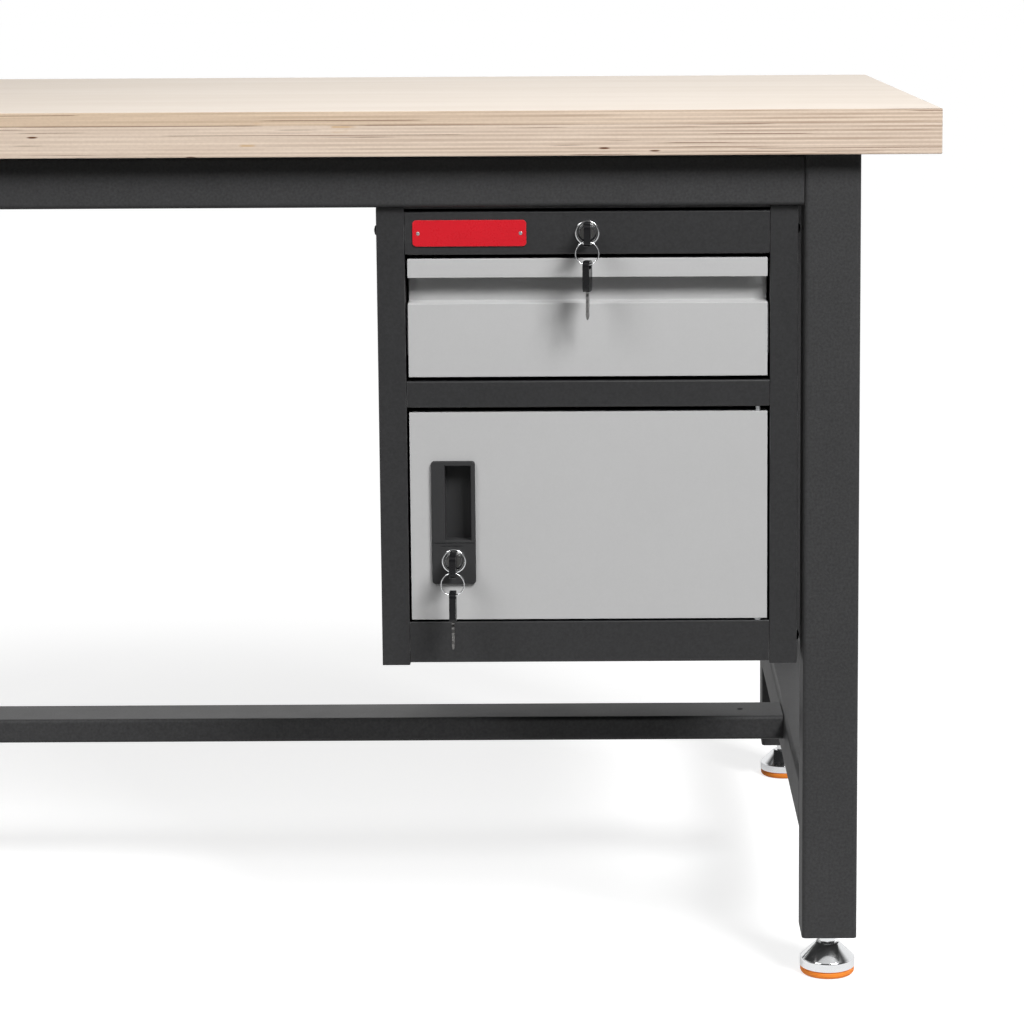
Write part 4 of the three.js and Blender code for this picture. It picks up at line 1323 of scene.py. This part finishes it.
@dataclass
class LockSet:
    """The drawer's or the door's lock with its key, and the ring that carries a spare key."""

    name: str
    spare_twist: float = 0.0  # turn of the spare key about its length, in degrees
    plug_edge: float = 0.4 * MM
    cam_edge: float = 0.3 * MM
    bezel_radius: float = 11.2 * MM
    bezel_height: float = 2.7 * MM
    bezel_rounding: float = 0.5 * MM
    barrel_radius: float = 9.0 * MM
    dish_radius: float = 8.4 * MM
    plug_gap: float = 0.3 * MM
    clamp_thickness: float = 2.0 * MM
    clamp_from_end: float = 1.0 * MM
    head_length: float = 27.0 * MM
    head_corner: float = 4.5 * MM
    head_edge: float = 1.0 * MM
    panel_inset: float = 2.2 * MM
    panel_depth: float = 0.4 * MM
    hole_from_end: float = 4.6 * MM
    hole_half: Pair = (2.6 * MM, 7.0 * MM)
    blade_half: Pair = (1.15 * MM, 4.1 * MM)
    blade_root: float = 3.0 * MM
    blade_edge: float = 0.2 * MM
    tip_taper: Triple = (0.6, 1.0, 0.45)
    teeth: tuple[float, ...] = (0.0, 1.6, 0.5, 2.2, 1.2, 2.4, 0.8, 1.8, 0.6, 2.0)
    ring_wire: float = 0.5 * MM
    ring_pitch: float = 1.05 * MM
    ring_radius: float = 10.3 * MM
    ring_turns: int = 2
    ring_steps: int = 48

    @property
    def body(self) -> str:
        """The body that turns with the key."""
        return f"{self.name}_lock"

    def build(self) -> None:
        """Model the lock, its key and what hangs from it."""
        self.barrel()
        eased_nodes([f"{self.name}_lock_plug"], KEY_STEEL, self.plug_edge)
        eased_nodes([f"{self.name}_lock_cam"], ZINC, self.cam_edge)
        node = f"{self.name}_key"
        head, blade = self.key()
        self.hang_ring()
        self.hang_spare(head, blade)
        settle(head, BLACK_KEY, self.body, node)
        settle(blade, KEY_STEEL, self.body, node)

    def barrel(self) -> None:
        """Turned bezel with a dished face, and the barrel behind it."""
        node = f"{self.name}_lock_barrel"
        low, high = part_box(node)
        plug_low, plug_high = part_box(f"{self.name}_lock_plug")
        bore = (plug_high.x - plug_low.x) / 2 + self.plug_gap
        clamp = (high.x - low.x) / 2
        long = high.y - low.y
        clamp_back = long - self.clamp_from_end
        clamp_front = clamp_back - self.clamp_thickness
        bezel, barrel = self.bezel_radius, self.barrel_radius
        profile = rounded(
            [
                (bore, 1.2 * MM), (self.dish_radius, 0.9 * MM), (self.dish_radius + 0.9 * MM, 0.0),
                (bezel - 0.6 * MM, 0.0), (bezel, 1.0 * MM), (bezel, self.bezel_height),
                (barrel, self.bezel_height), (barrel, clamp_front), (clamp, clamp_front),
                (clamp, clamp_back), (barrel, clamp_back), (barrel, long), (bore, long),
            ],
            self.bezel_rounding,
        )
        at = middle(f"{self.name}_lock_plug")
        at.y = low.y
        piece = turned(f"{self.name}_lock_bezel", [*profile, profile[0]], at, Axis.Y, sides=64)
        settle(piece, CHROME, body_of(node), node)

    def key_place(self) -> tuple[Vector, float]:
        """Middle of the key's outer end, and the key's length."""
        low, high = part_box(f"{self.name}_key")
        return Vector(((low.x + high.x) / 2, low.y, (low.z + high.z) / 2)), high.y - low.y

    def key(self) -> tuple[Piece, Piece]:
        """Key in the lock.

        Returns:
            Its moulded head and its toothed blade.
        """
        low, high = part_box(f"{self.name}_key")
        end, length = self.key_place()
        head = block(f"{self.name}_key_head", low, Vector((high.x, low.y + self.head_length, high.z)))
        bevel_edges(head, along(Axis.X), self.head_corner, segments=6)
        with editing(head, Pick.FACES, along(Axis.X)):
            bpy.ops.mesh.inset(thickness=self.panel_inset, depth=-self.panel_depth, use_individual=True)
        hole = end + Vector((0, self.hole_from_end, 0))
        reach = Vector((high.x - low.x, *self.hole_half))
        cutter = block("hole_cutter", hole - reach, hole + reach)
        bevel_edges(cutter, along(Axis.X), 0.9 * self.hole_half[0], segments=5)
        cut(head, cutter)
        return ease(head, self.head_edge), self.blade(end, length)

    def blade(self, end: Vector, length: float) -> Piece:
        """Flat blade with teeth along its lower edge.

        Args:
            end: Middle of the key's outer end.
            length: The key's length.

        Returns:
            The blade.
        """
        half = Vector((self.blade_half[0], 0, self.blade_half[1]))
        root = end + Vector((0, self.head_length - self.blade_root, 0))
        tip = end + Vector((0, length, 0))
        blade = block(f"{self.name}_key_blade", root - half, tip + half)
        stations = len(self.teeth)
        with editing(blade, Pick.EDGES, along(Axis.Y)):
            bpy.ops.mesh.subdivide(number_cuts=stations)
        step = (tip.y - root.y) / (stations + 1)
        for number, depth in enumerate(self.teeth, start=1):
            station = root.y + number * step
            with editing(blade, Pick.VERTICES, lambda at, _: abs(at.y - station) < NEAR and at.z < root.z):
                bpy.ops.transform.translate(value=(0, 0, depth * MM))
        with editing(blade, Pick.VERTICES, lambda at, _: at.y > tip.y - NEAR):
            bpy.ops.transform.resize(value=self.tip_taper, center_override=tip)
        return ease(blade, self.blade_edge)

    def from_door(self) -> Vector:
        """How far this lock's key lies from the door's."""
        return self.key_place()[0] - LockSet("door").key_place()[0]

    def hang(self, piece: Piece, finish: Finish, body: str, node: str) -> None:
        """Settle a hanging piece; the drawer's have no solids and ride on its lock.

        Args:
            piece: The piece.
            finish: Its finish.
            body: The body of the door's piece.
            node: The solid of the door's piece.
        """
        if self.name == "door":
            settle(piece, finish, body, node)
        else:
            settle(piece, finish, self.body)

    def hang_ring(self) -> None:
        """Split ring of two turns of wire through the key's hole."""
        centre = middle("door_key_ring") + self.from_door()
        name = f"{self.name}_split_ring"
        curve = bpy.data.curves.new(name, "CURVE")
        curve.dimensions = "3D"
        curve.bevel_depth = self.ring_wire
        curve.bevel_resolution = 3
        curve.use_fill_caps = True
        spline = curve.splines.new("POLY")
        spline.points.add(self.ring_turns * self.ring_steps)
        for number, point in enumerate(spline.points):
            turns = number / self.ring_steps
            angle = math.tau * turns
            drift = self.ring_pitch * (turns - self.ring_turns / 2)
            around = (self.ring_radius * math.cos(angle), drift, self.ring_radius * math.sin(angle))
            point.co = (*(centre + Vector(around)), 1.0)
        focus(added(name, curve))
        bpy.ops.object.convert(target="MESH")
        ring = named(bpy.context.active_object, name)
        self.hang(ease(ring), CHROME, "door_ring", "door_key_ring")

    def hang_spare(self, head: Piece, blade: Piece) -> None:
        """Spare key like the first one, hung from the ring with its blade down.

        Args:
            head: The first key's head.
            blade: The first key's blade.
        """
        hole = self.key_place()[0] + Vector((0, self.hole_from_end, 0))
        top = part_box("door_spare_key")[1].z + self.from_door().z
        for part, finish, label in ((head, BLACK_KEY, "head"), (blade, KEY_STEEL, "blade")):
            spare = copy_of(part, f"{self.name}_spare_{label}", Vector((0, 0, 0)))
            turn(spare, -math.pi / 2, Axis.X, hole)
            spare.location = (0, 0, top - self.hole_from_end - hole.z)
            apply_place(spare)
            turn(spare, math.radians(self.spare_twist), Axis.Z, hole)
            self.hang(spare, finish, "door_spare", "door_spare_key")


def main() -> None:
    """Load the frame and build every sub-assembly."""
    logging.basicConfig(level=logging.INFO, format="%(name)s: %(message)s")
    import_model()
    for part in (
        Studio(), Worktop(), TubeFrame(), LevellingFeet(), CabinetCarcass(), Drawer(), Door(),
        LockSet("drawer", spare_twist=-8.0), LockSet("door"),
    ):
        part.build()


if __name__ == "__main__":
    main()
